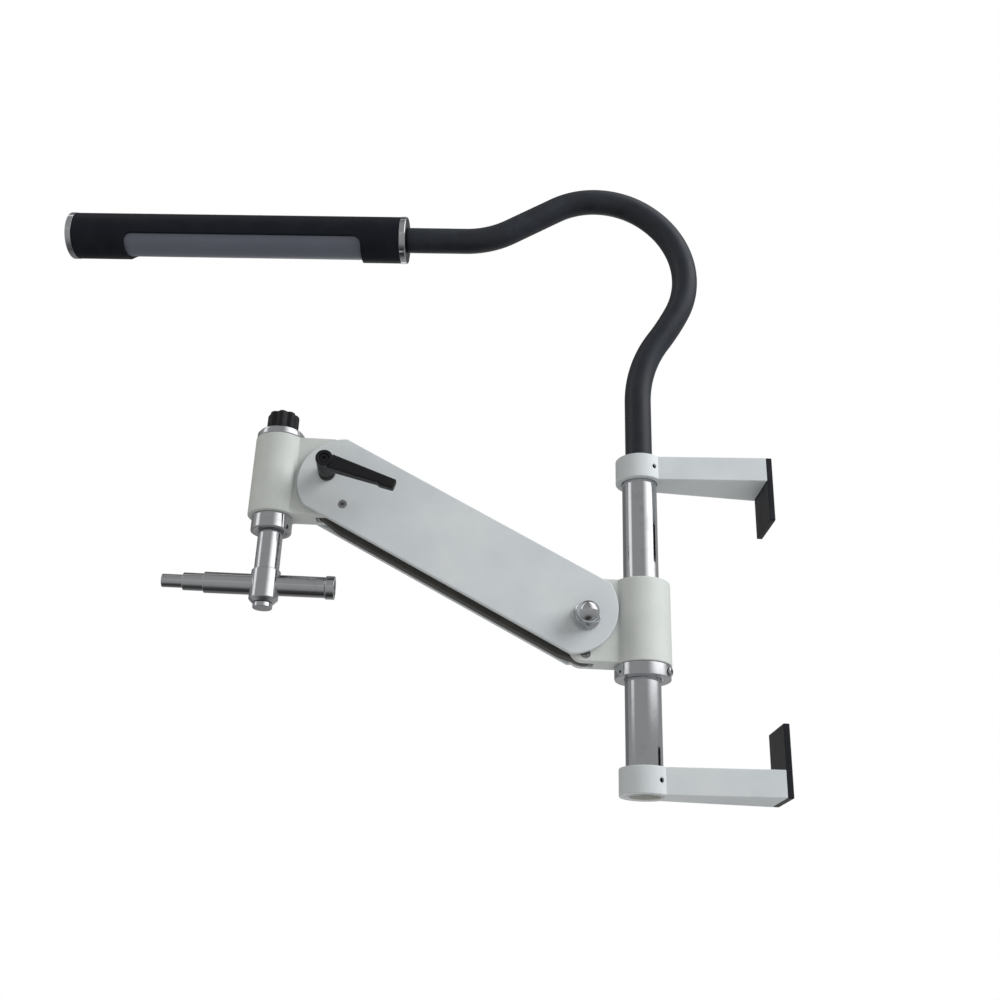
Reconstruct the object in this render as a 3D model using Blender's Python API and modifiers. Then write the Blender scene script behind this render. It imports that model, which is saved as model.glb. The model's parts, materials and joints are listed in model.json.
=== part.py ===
"""Phoropter arm stand: a wall-mounted post with a parallel arm, a stepped rod and a gooseneck lamp.

The origin is the centre of the lower mounting plate's outer face. +X points out of that face,
towards the unit that carries the stand, +Z is up and +Y points away from the front. The post,
the swing block, the arm, the head and the lamp each have an empty on the axis that they move
about, and their pieces are children of it. All lengths are in metres.
"""

import math

import bmesh
import bpy
from mathutils import Matrix, Vector

# Shared allowances
GAP = 0.0003  # between neighbouring solids
OVERRUN = 0.002  # how far a cutter runs past the face that it opens
MERGE_DISTANCE = 0.00002  # where a turned or filled outline closes on itself
EDGE_BREAK = 0.0008  # chamfer on turned and cut edges
CASTING_EDGE = 0.0012  # softer edge of the white castings

# Facets of round pieces
FINE_STEPS = 24
STEPS = 16
COARSE_STEPS = 12
ARC_POINTS = 9
CORNER_POINTS = 4
SLEEVE_RESOLUTION = 4  # bevel resolutions: a tube has twice this and four more sides
CORE_RESOLUTION = 2

# Mounting plates
PLATE_THICKNESS = 0.006
PLATE_WIDTH = 0.055
PLATE_HEIGHT = 0.072
WALL_HOLE_RADIUS = 0.004
WALL_HOLE_SPACING = 0.032
WALL_HOLE_DEPTH = 0.020

# Brackets that hold the post
BRACKET_REACH = 0.1325
BRACKET_HEIGHT = 0.027
RING_RADIUS = 0.0253
BRACKET_HALF_AT_RING = 0.0180
GRUB_RADIUS = 0.0022
GRUB_BELOW_SURFACE = 0.0015
GRUB_SOCKET_RADIUS = 0.0012
GRUB_AZIMUTH = math.radians(-59)
SCREW_RADIUS = 0.004
SCREW_HEAD_RADIUS = 0.008
SCREW_HEAD_HEIGHT = 0.0044
SCREW_LENGTH = 0.026
SCREW_SOCKET_RADIUS = 0.0025

# Post and what closes it
POST_RADIUS = 0.0184
POST_WALL = 0.0025
POST_HEIGHT = 0.358
GROMMET_HEIGHT = 0.006
GROMMET_RECESS = 0.012
FEED_CABLE_RADIUS = 0.003
PLUG_SHANK_LENGTH = 0.022
PLUG_FLANGE_HEIGHT = 0.003
PLUG_BOSS_HEIGHT = 0.012

# Swing block, its height collar and the arm's pivot on it
PIVOT_HEIGHT = 0.173
PIVOT_REACH = 0.0599
BLOCK_HEIGHT = 0.088
SWING_RADIUS = 0.0298
BUSH_WALL = 0.002
LUG_THICKNESS = 0.030
LUG_END = 0.016
LUG_CORNER = 0.014
SLOT_HEIGHT = 0.060
COLLAR_RADIUS = 0.0287
COLLAR_HEIGHT = 0.0133
COLLAR_SCREW_RADIUS = 0.003
COLLAR_SCREW_HEAD_RADIUS = 0.0048
COLLAR_SCREW_HEAD_HEIGHT = 0.0022
COLLAR_SCREW_SOCKET_RADIUS = 0.002
COLLAR_SCREW_SOCKET_DEPTH = 0.003
COLLAR_SCREW_AZIMUTH = math.radians(-31)

# Arm plates
ARM_LENGTH = 0.308
ARM_TILT = math.radians(27.8)
ARM_HALF_WIDTH = 0.0430
ARM_RAISE = 0.0016  # of the plates' middle above the line of the pivots
ARM_END_RADIUS = 0.049
ARM_REACH_PAST_POST_PIVOT = 0.030
ARM_REACH_PAST_HEAD_PIVOT = 0.0286
ARM_PLATE_THICKNESS = 0.006
PLATE_SCREW_ALONG = 0.032
PLATE_SCREW_BELOW = 0.0213
PLATE_SCREW_RADIUS = 0.0022
PLATE_SCREW_HEAD_RADIUS = 0.0045
PLATE_SCREW_HEAD_HEIGHT = 0.0025
PLATE_SCREW_SOCKET_RADIUS = 0.0015

# Bolts and nut of the arm
BOLT_RADIUS = 0.0077
BOLT_THREAD_RADIUS = 0.0074
BOLT_HEAD_FLATS = 0.024
BOLT_HEAD_HEIGHT = 0.010
BOLT_REACH_IN_NUT = 0.018
FLANGE_RADIUS = 0.0145
FLANGE_THICKNESS = 0.0015
PLATE_BOSS_RADIUS = 0.017
PLATE_BOSS_HEIGHT = 0.0012
NUT_HEX_HEIGHT = 0.013
NUT_DOME_RADIUS = 0.0115
NUT_DOME_WALL = 0.0035

# Link bar and its pins
LINK_DROP = 0.036
LINK_THICKNESS = 0.012
LINK_HALF_HEIGHT = 0.0123
LINK_EYE_RADIUS = 0.008
LINK_TAPER = 0.024
LINK_PIN_RADIUS = 0.005
LINK_PIN_RECESS = 0.002
SLOT_SIDE_CLEARANCE = 0.0005
SLOT_END_CLEARANCE = 0.0015

# Clamp lever
STUD_THREAD_RADIUS = 0.005
STUD_THREAD_LENGTH = 0.011
INSERT_RADIUS = 0.006
INSERT_LENGTH = 0.022
HUB_RADIUS = 0.0088
HUB_HEIGHT = 0.0384
HUB_LEDGE = 0.005
LEVER_LIFT = 0.004
LEVER_SCREW_RADIUS = 0.0022
LEVER_SCREW_LENGTH = 0.018
LEVER_SCREW_HEAD_RADIUS = 0.0047
LEVER_SCREW_HEAD_HEIGHT = 0.006
GRIP_LENGTH = 0.077
GRIP_THICKNESS = 0.012
GRIP_HALF_AT_HUB = 0.0083
GRIP_HALF_AT_END = 0.0047
GRIP_HEEL = 0.0015
GRIP_HEEL_LENGTH = 0.018
GRIP_HEEL_SLOPE = 0.003
GRIP_CORNER = 0.0018
GRIP_BELOW_TOP = 0.0015
LEVER_ANGLE = math.radians(-17.4)

# Head block, spindle and what is on them
HEAD_REACH = 0.0547
HEAD_RADIUS = 0.026
HEAD_BORE = 0.0143
SPINDLE_NECK_RADIUS = 0.010
SPINDLE_RADIUS = 0.0128
ROD_BELOW_HEAD = 0.0736
ROD_BEHIND_SPINDLE = 0.002
CROSS_HEAD_RADIUS = 0.0149
CROSS_HEAD_ABOVE_ROD = 0.0145
CROSS_HEAD_BELOW_ROD = 0.0205
CROSS_HEAD_CHAMFER = 0.0038
TOP_RING_RADIUS = 0.0254
TOP_RING_HEIGHT = 0.008
TOP_RING_STEP = 0.0018
HEAD_COLLAR_RADIUS = 0.0211
HEAD_COLLAR_HEIGHT = 0.0163
HEAD_COLLAR_RECESS_RADIUS = 0.0165
HEAD_COLLAR_RECESS_DEPTH = 0.002
SPINDLE_THREAD_RADIUS = 0.004
SPINDLE_THREAD_LENGTH = 0.017
KNOB_RADIUS = 0.0168
KNOB_FLUTE_DEPTH = 0.0022
KNOB_LOBES = 8
KNOB_POINTS_PER_LOBE = 6
KNOB_HEIGHT = 0.021
KNOB_EDGE = 0.0015
KNOB_BOSS_RADIUS = 0.010
KNOB_BOSS_HEIGHT = 0.0028

# Rod through the cross head
ROD_SLEEVE_RADIUS = 0.0109
ROD_SLEEVE_LENGTH = 0.123
SHAFT_RADIUS = 0.0091
SHAFT_STEP_LENGTH = 0.0213
TIP_RADIUS = 0.0068
TIP_LENGTH = 0.0215
END_CAP_RADIUS = 0.0122
END_CAP_LENGTH = 0.0092
END_CAP_RECESS_RADIUS = 0.0085
END_CAP_RECESS_DEPTH = 0.0025
SHAFT_IN_CAP = 0.0045
CLAMP_SCREW_RADIUS = 0.0038
CLAMP_HEAD_RADIUS = 0.010
CLAMP_HEAD_HEIGHT = 0.005

# Gooseneck: each arc of its centre line is a length, a turn in the plane of the arm, and a turn
# about the vertical, from straight up at the post to the lamp
NECK_CORE_RADIUS = 0.009
NECK_SLEEVE_RADIUS = 0.0145
NECK_SLEEVE_WALL = 0.004
NECK_STEP_SHARE = 0.03  # longest straight piece, as a share of the whole neck
NECK_TIP_SHARE = 0.03
NECK_CONE_LENGTH = 0.004
NECK_END_STEP = 0.001
NECK_ARCS = (
    (0.070, 0, 0),
    (0.085, math.radians(34), 0),
    (0.045, math.radians(-8), 0),
    (0.155, math.radians(-84), 0),
    (0.108, math.radians(-65), 0),
    (0.064, 0, 0),
    (0.055, math.radians(30), 0),
    (0.068, math.radians(4), math.radians(-5.5)),
)
NECK_HINGE_SHARES = (0.06, 0.25, 0.60, 0.91)  # places of the bends along the centre line
NECK_SLICES = 200  # straight pieces that stand for one arc
NECK_END_IN_LAMP = 0.012
NECK_NUT_RADIUS = 0.013
NECK_NUT_HEIGHT = 0.006

# Lamp
LAMP_LENGTH = 0.401
LAMP_RADIUS = 0.0267
LAMP_WALL = 0.0032
LAMP_RING_RADIUS = 0.0271
LAMP_RING_LENGTH = 0.007
LAMP_CAP_RADIUS = 0.0255
LAMP_CAP_THICKNESS = 0.004
DIFFUSER_WALL = 0.0016
WINDOW_START = 0.052
WINDOW_END_MARGIN = 0.069
WINDOW_HALF_ANGLE = math.radians(67)
WINDOW_CORNER = 0.009
SOCKET_START = 0.014
SOCKET_LENGTH = 0.020
REFLECTOR_THICKNESS = 0.0008
GLASS_TUBE_RADIUS = 0.006
GLASS_TUBE_SPACING = 0.016
GLASS_TUBE_MARGIN = 0.081
GLASS_TUBE_FORWARD = 0.003

# Sizes that follow from those above
POST_X = -(BRACKET_REACH + PLATE_THICKNESS)
POST_FOOT_Z = -PLATE_HEIGHT / 2
POST_BORE = POST_RADIUS - POST_WALL
BUSH_OUTER = POST_RADIUS + GAP + BUSH_WALL
SWING_BORE = BUSH_OUTER + GAP
HALF_BLOCK = BLOCK_HEIGHT / 2
ARM_INNER = LUG_THICKNESS / 2 + GAP + PLATE_BOSS_HEIGHT
ARM_OUTER = ARM_INNER + ARM_PLATE_THICKNESS
SEAT = ARM_OUTER + GAP  # where the nut, the bolt heads and the lever bear, from the arm's middle
BOLT_HOLE = BOLT_RADIUS + GAP
SLOT_WIDTH = LINK_THICKNESS + 2 * SLOT_SIDE_CLEARANCE
NECK_FOOT = POST_HEIGHT + GAP + PLUG_FLANGE_HEIGHT
NECK_LENGTH = sum(length for length, turn, yaw in NECK_ARCS)
WINDOW_END = LAMP_LENGTH - WINDOW_END_MARGIN
DIFFUSER_RADIUS = LAMP_RADIUS - LAMP_WALL - GAP
DIFFUSER_BORE = DIFFUSER_RADIUS - DIFFUSER_WALL
ROD_BORE = ROD_SLEEVE_RADIUS + GAP
SHAFT_BORE = SHAFT_RADIUS + GAP
HEAD_PIVOT = Vector((-ARM_LENGTH * math.cos(ARM_TILT), 0, ARM_LENGTH * math.sin(ARM_TILT)))

# Directions: where each rotation sends a turned piece's own Z
UP = (0, 0, 0)
FORWARD = (math.pi / 2, 0, 0)  # to the front, -Y, with its own Y upwards
LEFT = (0, -math.pi / 2, 0)  # to -X
RIGHT = (0, math.pi / 2, 0)  # to +X
AT_PARENT = (0, 0, 0)

# Finishes: linear base colour, roughness, metallic
FINISHES = {
    "white_paint": ((0.62, 0.65, 0.63), 0.38, 0.0),
    "black_paint": ((0.012, 0.013, 0.018), 0.45, 0.0),
    "black_plastic": ((0.016, 0.016, 0.018), 0.42, 0.0),
    "black_rubber": ((0.022, 0.026, 0.034), 0.55, 0.0),
    "chrome": ((0.60, 0.61, 0.62), 0.12, 1.0),
    "steel": ((0.45, 0.45, 0.46), 0.30, 1.0),
    "bronze": ((0.40, 0.26, 0.11), 0.35, 1.0),
    "frosted": ((0.24, 0.26, 0.30), 0.50, 0.0),
    "white_plastic": ((0.75, 0.75, 0.73), 0.45, 0.0),
    "glass": ((0.85, 0.87, 0.88), 0.15, 0.0),
}


for old in list(bpy.data.objects):
    bpy.data.objects.remove(old, do_unlink=True)
PARTS = bpy.data.collections.new("phoropter_arm_stand")
CUTTERS = bpy.data.collections.new("cutters")
FRAMES = bpy.data.collections.new("frames")
for group in (PARTS, CUTTERS, FRAMES):
    bpy.context.scene.collection.children.link(group)


def place(obj, parent, location, rotation):
    """Hang an object on its parent at a place and a turn in the parent's own axes."""
    obj.parent = parent
    obj.location = location
    obj.rotation_euler = rotation
    return obj


def frame(name, parent=None, location=AT_PARENT, rotation=UP):
    """An empty that carries pieces, on the axis that they share."""
    empty = bpy.data.objects.new(name, None)
    FRAMES.objects.link(empty)
    return place(empty, parent, location, rotation)


def finish_material(node, finish):
    """A Principled material of one sub-part's own."""
    colour, roughness, metallic = FINISHES[finish]
    made = bpy.data.materials.new(f"{node}_{finish}")
    made.use_nodes = True
    shader = made.node_tree.nodes["Principled BSDF"]
    shader.inputs["Base Color"].default_value = (*colour, 1)
    shader.inputs["Roughness"].default_value = roughness
    shader.inputs["Metallic"].default_value = metallic
    return made


def add(name, data, finish, parent, location=AT_PARENT, rotation=UP):
    """Put a mesh or curve in the scene: a sub-part where it has a finish, else a cutter."""
    obj = bpy.data.objects.new(name, data)
    if finish:
        PARTS.objects.link(obj)
        data.materials.append(finish_material(name, finish))
    else:
        CUTTERS.objects.link(obj)
        obj.hide_render = True
        obj.display_type = "WIRE"
    return place(obj, parent, location, rotation)


def turned(name, profile, finish, parent, location=AT_PARENT, rotation=UP, steps=STEPS, ring=False):
    """Turn a profile of (radius, height) points, which runs down its outer side, about Z.

    A ring's profile closes on itself, and any other starts and ends on the axis.
    """
    mesh = bpy.data.meshes.new(name)
    edges = [(start, start + 1) for start in range(len(profile) - 1)]
    if ring:
        edges.append((len(profile) - 1, 0))
    mesh.from_pydata([(radius, 0, height) for radius, height in profile], edges, [])
    obj = add(name, mesh, finish, parent, location, rotation)
    screw = obj.modifiers.new("turn", "SCREW")
    screw.steps = steps
    screw.render_steps = steps
    screw.use_merge_vertices = True
    screw.merge_threshold = MERGE_DISTANCE
    screw.use_smooth_shade = True
    return obj


def ring_profile(outer, inner, low, high, edge=EDGE_BREAK):
    """A tube's section with chamfered outer edges."""
    return [
        (inner, high),
        (outer - edge, high),
        (outer, high - edge),
        (outer, low + edge),
        (outer - edge, low),
        (inner, low),
    ]


def disc_profile(radius, low, high, edge=EDGE_BREAK):
    """A solid disc's section with chamfered edges."""
    return [
        (0, high),
        (radius - edge, high),
        (radius, high - edge),
        (radius, low + edge),
        (radius - edge, low),
        (0, low),
    ]


def box(name, size, finish, parent, location=AT_PARENT):
    """A box about its own middle."""
    mesh = bpy.data.meshes.new(name)
    shape = bmesh.new()
    bmesh.ops.create_cube(shape, size=1)
    bmesh.ops.scale(shape, vec=size, verts=shape.verts)
    shape.to_mesh(mesh)
    shape.free()
    return add(name, mesh, finish, parent, location)


def prism(name, sides, radius, height, finish, parent, location=AT_PARENT, rotation=UP):
    """An upright prism or cylinder about its own middle, with a flat side towards its own X."""
    mesh = bpy.data.meshes.new(name)
    shape = bmesh.new()
    bmesh.ops.create_cone(
        shape,
        cap_ends=True,
        segments=sides,
        radius1=radius,
        radius2=radius,
        depth=height,
        matrix=Matrix.Rotation(math.pi / sides, 4, "Z"),
    )
    shape.to_mesh(mesh)
    shape.free()
    return add(name, mesh, finish, parent, location, rotation)


def closed_mesh(name, curve):
    """The curve's own surface as a closed mesh, with its caps welded on."""
    guide = bpy.data.objects.new(name, curve)
    CUTTERS.objects.link(guide)
    graph = bpy.context.evaluated_depsgraph_get()
    mesh = bpy.data.meshes.new_from_object(guide.evaluated_get(graph))
    bpy.data.objects.remove(guide)
    shape = bmesh.new()
    shape.from_mesh(mesh)
    bmesh.ops.remove_doubles(shape, verts=shape.verts, dist=MERGE_DISTANCE)
    bmesh.ops.recalc_face_normals(shape, faces=shape.faces)
    shape.to_mesh(mesh)
    shape.free()
    return mesh


def slab_mesh(name, loops, thickness):
    """A flat outline with its holes, as thick as given about its own plane."""
    curve = bpy.data.curves.new(name, "CURVE")
    curve.dimensions = "2D"
    curve.fill_mode = "BOTH"
    curve.extrude = thickness / 2
    for loop in loops:
        spline = curve.splines.new("POLY")
        spline.points.add(len(loop) - 1)
        for point, (across, along) in zip(spline.points, loop):
            point.co = (across, along, 0, 1)
        spline.use_cyclic_u = True
    return closed_mesh(name, curve)


def rod_curve(name, points, radius, bevel_resolution, shares=None):
    """A round rod along points, closed at its ends; shares scale its radius at each of them."""
    curve = bpy.data.curves.new(name, "CURVE")
    curve.dimensions = "3D"
    curve.use_fill_caps = True
    curve.bevel_depth = radius
    curve.bevel_resolution = bevel_resolution
    spline = curve.splines.new("POLY")
    spline.points.add(len(points) - 1)
    for index, point in enumerate(points):
        spline.points[index].co = (*point, 1)
        if shares:
            spline.points[index].radius = shares[index]
    return curve


def arc(across, along, radius, start, stop, count=ARC_POINTS):
    """Points of an arc about a centre, from one angle to another."""
    steps = [start + (stop - start) * index / (count - 1) for index in range(count)]
    return [(across + radius * math.cos(a), along + radius * math.sin(a)) for a in steps]


def circle(across, along, radius, count=COARSE_STEPS):
    """Points of a full circle."""
    return arc(across, along, radius, 0, 2 * math.pi * (count - 1) / count, count)


def cut(target, tool, operation="DIFFERENCE"):
    """Cut a tool out of a piece, or join it on."""
    boolean = target.modifiers.new(tool.name, "BOOLEAN")
    boolean.operation = operation
    boolean.solver = "EXACT"
    boolean.object = tool
    return target


def break_edges(obj, width):
    """Chamfer a piece's sharp edges."""
    bevel = obj.modifiers.new("edges", "BEVEL")
    bevel.width = width
    bevel.segments = 1
    bevel.limit_method = "ANGLE"
    bevel.angle_limit = math.radians(40)


def mirror(obj, about, axes):
    """Repeat a piece across planes through another object's origin."""
    modifier = obj.modifiers.new("repeat", "MIRROR")
    modifier.mirror_object = about
    modifier.use_axis = axes
    modifier.use_mirror_merge = False
    modifier.merge_threshold = MERGE_DISTANCE
    return obj


def screw_profile(radius, head_radius, head_height, length, socket, grow=0.0):
    """A countersunk screw's section, its flat face at height 0, or its hole where it grows."""
    if grow:
        top = [(0, OVERRUN), (head_radius + grow, OVERRUN), (head_radius + grow, 0)]
    else:
        top = [(0, -socket), (socket, -socket), (socket, 0), (head_radius, 0)]
    shank = radius + grow
    return top + [(shank, -head_height), (shank, -length - grow), (0, -length - grow)]


def radial(azimuth):
    """The turn that sends a piece's own Z outwards at an azimuth."""
    return (0, math.pi / 2, azimuth)


def socketed_stud(name, radius, length, socket, parent, location, rotation):
    """A set screw from height 0 up, with a round socket as deep as its own radius in the top."""
    profile = [
        (0, length - socket),
        (socket, length - socket),
        (socket, length),
        (radius, length),
        (radius, 0),
        (0, 0),
    ]
    return turned(name, profile, "steel", parent, location, rotation, COARSE_STEPS)


def build_bracket(name, post, bracket_z, plate_z):
    """One white bracket on the post with its set screw, its mounting plate and its screw."""
    outline_side = math.asin(BRACKET_HALF_AT_RING / RING_RADIUS)
    half_width = PLATE_WIDTH / 2
    end = BRACKET_REACH - GAP
    outline = arc(0, 0, RING_RADIUS, outline_side, 2 * math.pi - outline_side, STEPS)
    outline += [(end, -half_width), (end, half_width)]
    bore = circle(0, 0, POST_RADIUS + GAP, FINE_STEPS)
    mesh = slab_mesh(f"{name}_bracket", [outline, bore], BRACKET_HEIGHT)
    bracket = add(f"{name}_bracket", mesh, "white_paint", post, (0, 0, bracket_z))
    break_edges(bracket, EDGE_BREAK)
    plate_middle = BRACKET_REACH + PLATE_THICKNESS / 2
    size = (PLATE_THICKNESS, PLATE_WIDTH, PLATE_HEIGHT)
    plate = box(f"{name}_mounting_plate", size, "black_paint", post, (plate_middle, 0, plate_z))
    break_edges(plate, EDGE_BREAK)

    screw = (SCREW_RADIUS, SCREW_HEAD_RADIUS, SCREW_HEAD_HEIGHT, SCREW_LENGTH, SCREW_SOCKET_RADIUS)
    screw_place = (BRACKET_REACH + PLATE_THICKNESS, 0, bracket_z)
    turned(
        f"{name}_bracket_screw",
        screw_profile(*screw),
        "steel",
        post,
        screw_place,
        RIGHT,
        COARSE_STEPS,
    )
    screw_hole = turned(
        f"{name}_screw_hole", screw_profile(*screw, GAP), None, post, screw_place, RIGHT, COARSE_STEPS
    )
    cut(bracket, screw_hole)
    cut(plate, screw_hole)

    hole_length = WALL_HOLE_DEPTH + OVERRUN
    hole_middle = BRACKET_REACH + PLATE_THICKNESS + OVERRUN - hole_length / 2
    for side in (-1, 1):
        wall_hole = prism(
            f"{name}_wall_hole_{side}",
            COARSE_STEPS,
            WALL_HOLE_RADIUS,
            hole_length,
            None,
            post,
            (hole_middle, side * WALL_HOLE_SPACING / 2, bracket_z),
            RIGHT,
        )
        cut(bracket, wall_hole)
        cut(plate, wall_hole)

    wall = RING_RADIUS - POST_RADIUS
    grub_start = POST_RADIUS + GAP
    grub_length = RING_RADIUS - GRUB_BELOW_SURFACE - grub_start
    outwards = Vector((math.cos(GRUB_AZIMUTH), math.sin(GRUB_AZIMUTH), 0))
    height = Vector((0, 0, bracket_z))
    socketed_stud(
        f"{name}_bracket_set_screw",
        GRUB_RADIUS,
        grub_length,
        GRUB_SOCKET_RADIUS,
        post,
        outwards * grub_start + height,
        radial(GRUB_AZIMUTH),
    )
    grub_hole = prism(
        f"{name}_grub_hole",
        COARSE_STEPS,
        GRUB_RADIUS + GAP,
        wall + 2 * OVERRUN,
        None,
        post,
        outwards * (POST_RADIUS + wall / 2) + height,
        radial(GRUB_AZIMUTH),
    )
    cut(bracket, grub_hole)


def build_wall_frame(post):
    """Mounting plates, brackets, post and what closes it, which all stay still."""
    half_bracket = BRACKET_HEIGHT / 2
    half_plate = PLATE_HEIGHT / 2
    build_bracket("lower", post, half_bracket, half_plate)
    build_bracket("upper", post, POST_HEIGHT - half_bracket, POST_HEIGHT - half_plate)

    turned(
        "post_tube",
        ring_profile(POST_RADIUS, POST_BORE, 0, POST_HEIGHT, EDGE_BREAK / 2),
        "chrome",
        post,
        steps=FINE_STEPS,
        ring=True,
    )
    grommet_top = GROMMET_RECESS + GROMMET_HEIGHT
    cable_hole = FEED_CABLE_RADIUS + GAP
    turned(
        "post_grommet",
        ring_profile(POST_BORE - GAP, cable_hole, GROMMET_RECESS, grommet_top),
        "black_rubber",
        post,
        ring=True,
    )
    turned(
        "feed_cable",
        disc_profile(FEED_CABLE_RADIUS, GROMMET_RECESS, NECK_FOOT + PLUG_BOSS_HEIGHT, EDGE_BREAK / 2),
        "black_rubber",
        post,
        steps=COARSE_STEPS,
    )
    flange_low = POST_HEIGHT + GAP
    turned(
        "neck_plug",
        [
            (cable_hole, NECK_FOOT + PLUG_BOSS_HEIGHT),
            (NECK_CORE_RADIUS, NECK_FOOT + PLUG_BOSS_HEIGHT),
            (NECK_CORE_RADIUS, NECK_FOOT),
            (POST_RADIUS - EDGE_BREAK, NECK_FOOT),
            (POST_RADIUS, NECK_FOOT - EDGE_BREAK),
            (POST_RADIUS, flange_low),
            (POST_BORE - GAP, flange_low),
            (POST_BORE - GAP, flange_low - PLUG_SHANK_LENGTH),
            (cable_hole, flange_low - PLUG_SHANK_LENGTH),
        ],
        "steel",
        post,
        steps=FINE_STEPS,
        ring=True,
    )


def lug_outline(reach, root):
    """The lug's side view, from its root in the block's wall to its rounded end."""
    half = HALF_BLOCK - CASTING_EDGE
    inset = LUG_CORNER
    lower = arc(reach - inset, inset - half, inset, -math.pi / 2, 0, CORNER_POINTS)
    upper = arc(reach - inset, half - inset, inset, 0, math.pi / 2, CORNER_POINTS)
    return [(root, -half)] + lower + upper + [(root, half)]


def fork_block(name, radius, bore, pivot_reach, parent, heading):
    """A white casting: an upright cylinder with a forked lug that takes the bolt and the link pin.

    Its middle height is the bolt's height, and heading is the lug's azimuth.
    """
    block = turned(
        name,
        ring_profile(radius, bore, -HALF_BLOCK, HALF_BLOCK, CASTING_EDGE),
        "white_paint",
        parent,
        steps=FINE_STEPS,
        ring=True,
    )
    reach = pivot_reach + LUG_END
    half_lug = LUG_THICKNESS / 2
    root = (bore + math.sqrt(radius**2 - half_lug**2)) / 2
    lug_frame = frame(f"{name}_lug_frame", parent, rotation=(0, 0, heading))
    mesh = slab_mesh(f"{name}_lug", [lug_outline(reach, root)], LUG_THICKNESS)
    lug = add(f"{name}_lug", mesh, None, lug_frame, rotation=FORWARD)
    cut(block, lug, "UNION")

    slot_start = pivot_reach - LINK_EYE_RADIUS - SLOT_END_CLEARANCE
    slot_end = reach + OVERRUN
    slot_height = SLOT_HEIGHT + OVERRUN
    slot = box(
        f"{name}_slot",
        (slot_end - slot_start, SLOT_WIDTH, slot_height),
        None,
        lug_frame,
        ((slot_start + slot_end) / 2, 0, -HALF_BLOCK - OVERRUN + slot_height / 2),
    )
    cut(block, slot)
    for tool, hole_radius, height in (
        ("bolt_hole", BOLT_HOLE, 0),
        ("pin_hole", LINK_PIN_RADIUS + GAP, -LINK_DROP),
    ):
        hole = prism(
            f"{name}_{tool}",
            COARSE_STEPS,
            hole_radius,
            LUG_THICKNESS + 2 * OVERRUN,
            None,
            lug_frame,
            (pivot_reach, 0, height),
            FORWARD,
        )
        cut(block, hole)
    return lug_frame


def block_bush(name, outer, inner, parent):
    """The bush along the whole of a block's bore."""
    profile = ring_profile(outer, inner, -HALF_BLOCK, HALF_BLOCK, EDGE_BREAK / 2)
    return turned(name, profile, "bronze", parent, steps=FINE_STEPS, ring=True)


def link_pin(name, parent, place_x):
    """A pin across a lug's fork, a little short of its faces."""
    half = LUG_THICKNESS / 2 - LINK_PIN_RECESS
    return turned(
        name,
        disc_profile(LINK_PIN_RADIUS, -half, half, EDGE_BREAK / 2),
        "steel",
        parent,
        (place_x, 0, -LINK_DROP),
        FORWARD,
        COARSE_STEPS,
    )


def build_swing_block(swing):
    """The block that turns on the post, its bushes and its link pin."""
    lug_frame = fork_block("swing_block", SWING_RADIUS, SWING_BORE, PIVOT_REACH, swing, math.pi)
    block_bush("swing_bush", BUSH_OUTER, POST_RADIUS + GAP, swing)
    link_pin("rear_link_pin", lug_frame, PIVOT_REACH)


def build_height_collar(swing):
    """The chromed collar that carries the block, with its round-headed set screw."""
    top = -HALF_BLOCK - GAP
    middle = top - COLLAR_HEIGHT / 2
    bore = POST_RADIUS + GAP
    collar = turned(
        "height_collar",
        ring_profile(COLLAR_RADIUS, bore, top - COLLAR_HEIGHT, top),
        "chrome",
        swing,
        steps=FINE_STEPS,
        ring=True,
    )
    outwards = Vector((math.cos(COLLAR_SCREW_AZIMUTH), math.sin(COLLAR_SCREW_AZIMUTH), 0))
    wall = COLLAR_RADIUS - POST_RADIUS
    hole = prism(
        "collar_hole",
        COARSE_STEPS,
        COLLAR_SCREW_RADIUS + GAP,
        wall + 2 * OVERRUN,
        None,
        swing,
        outwards * (POST_RADIUS + wall / 2) + Vector((0, 0, middle)),
        radial(COLLAR_SCREW_AZIMUTH),
    )
    cut(collar, hole)
    head_low = COLLAR_RADIUS + GAP
    head_top = head_low + COLLAR_SCREW_HEAD_HEIGHT
    turned(
        "collar_set_screw",
        [
            (0, head_top - COLLAR_SCREW_SOCKET_DEPTH),
            (COLLAR_SCREW_SOCKET_RADIUS, head_top - COLLAR_SCREW_SOCKET_DEPTH),
            (COLLAR_SCREW_SOCKET_RADIUS, head_top),
            (COLLAR_SCREW_HEAD_RADIUS - EDGE_BREAK, head_top),
            (COLLAR_SCREW_HEAD_RADIUS, head_top - EDGE_BREAK),
            (COLLAR_SCREW_HEAD_RADIUS, head_low),
            (COLLAR_SCREW_RADIUS, head_low),
            (COLLAR_SCREW_RADIUS, bore),
            (0, bore),
        ],
        "chrome",
        swing,
        Vector((0, 0, middle)),
        radial(COLLAR_SCREW_AZIMUTH),
        COARSE_STEPS,
    )


def arm_outline():
    """The side plate's outline: straight edges between two shallow round ends."""
    spread = math.asin(ARM_HALF_WIDTH / ARM_END_RADIUS)
    post_centre = ARM_REACH_PAST_POST_PIVOT - ARM_END_RADIUS
    head_centre = -ARM_LENGTH - ARM_REACH_PAST_HEAD_PIVOT + ARM_END_RADIUS
    post_end = arc(post_centre, ARM_RAISE, ARM_END_RADIUS, -spread, spread)
    head_end = arc(head_centre, ARM_RAISE, ARM_END_RADIUS, math.pi - spread, math.pi + spread)
    return post_end + head_end


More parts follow.
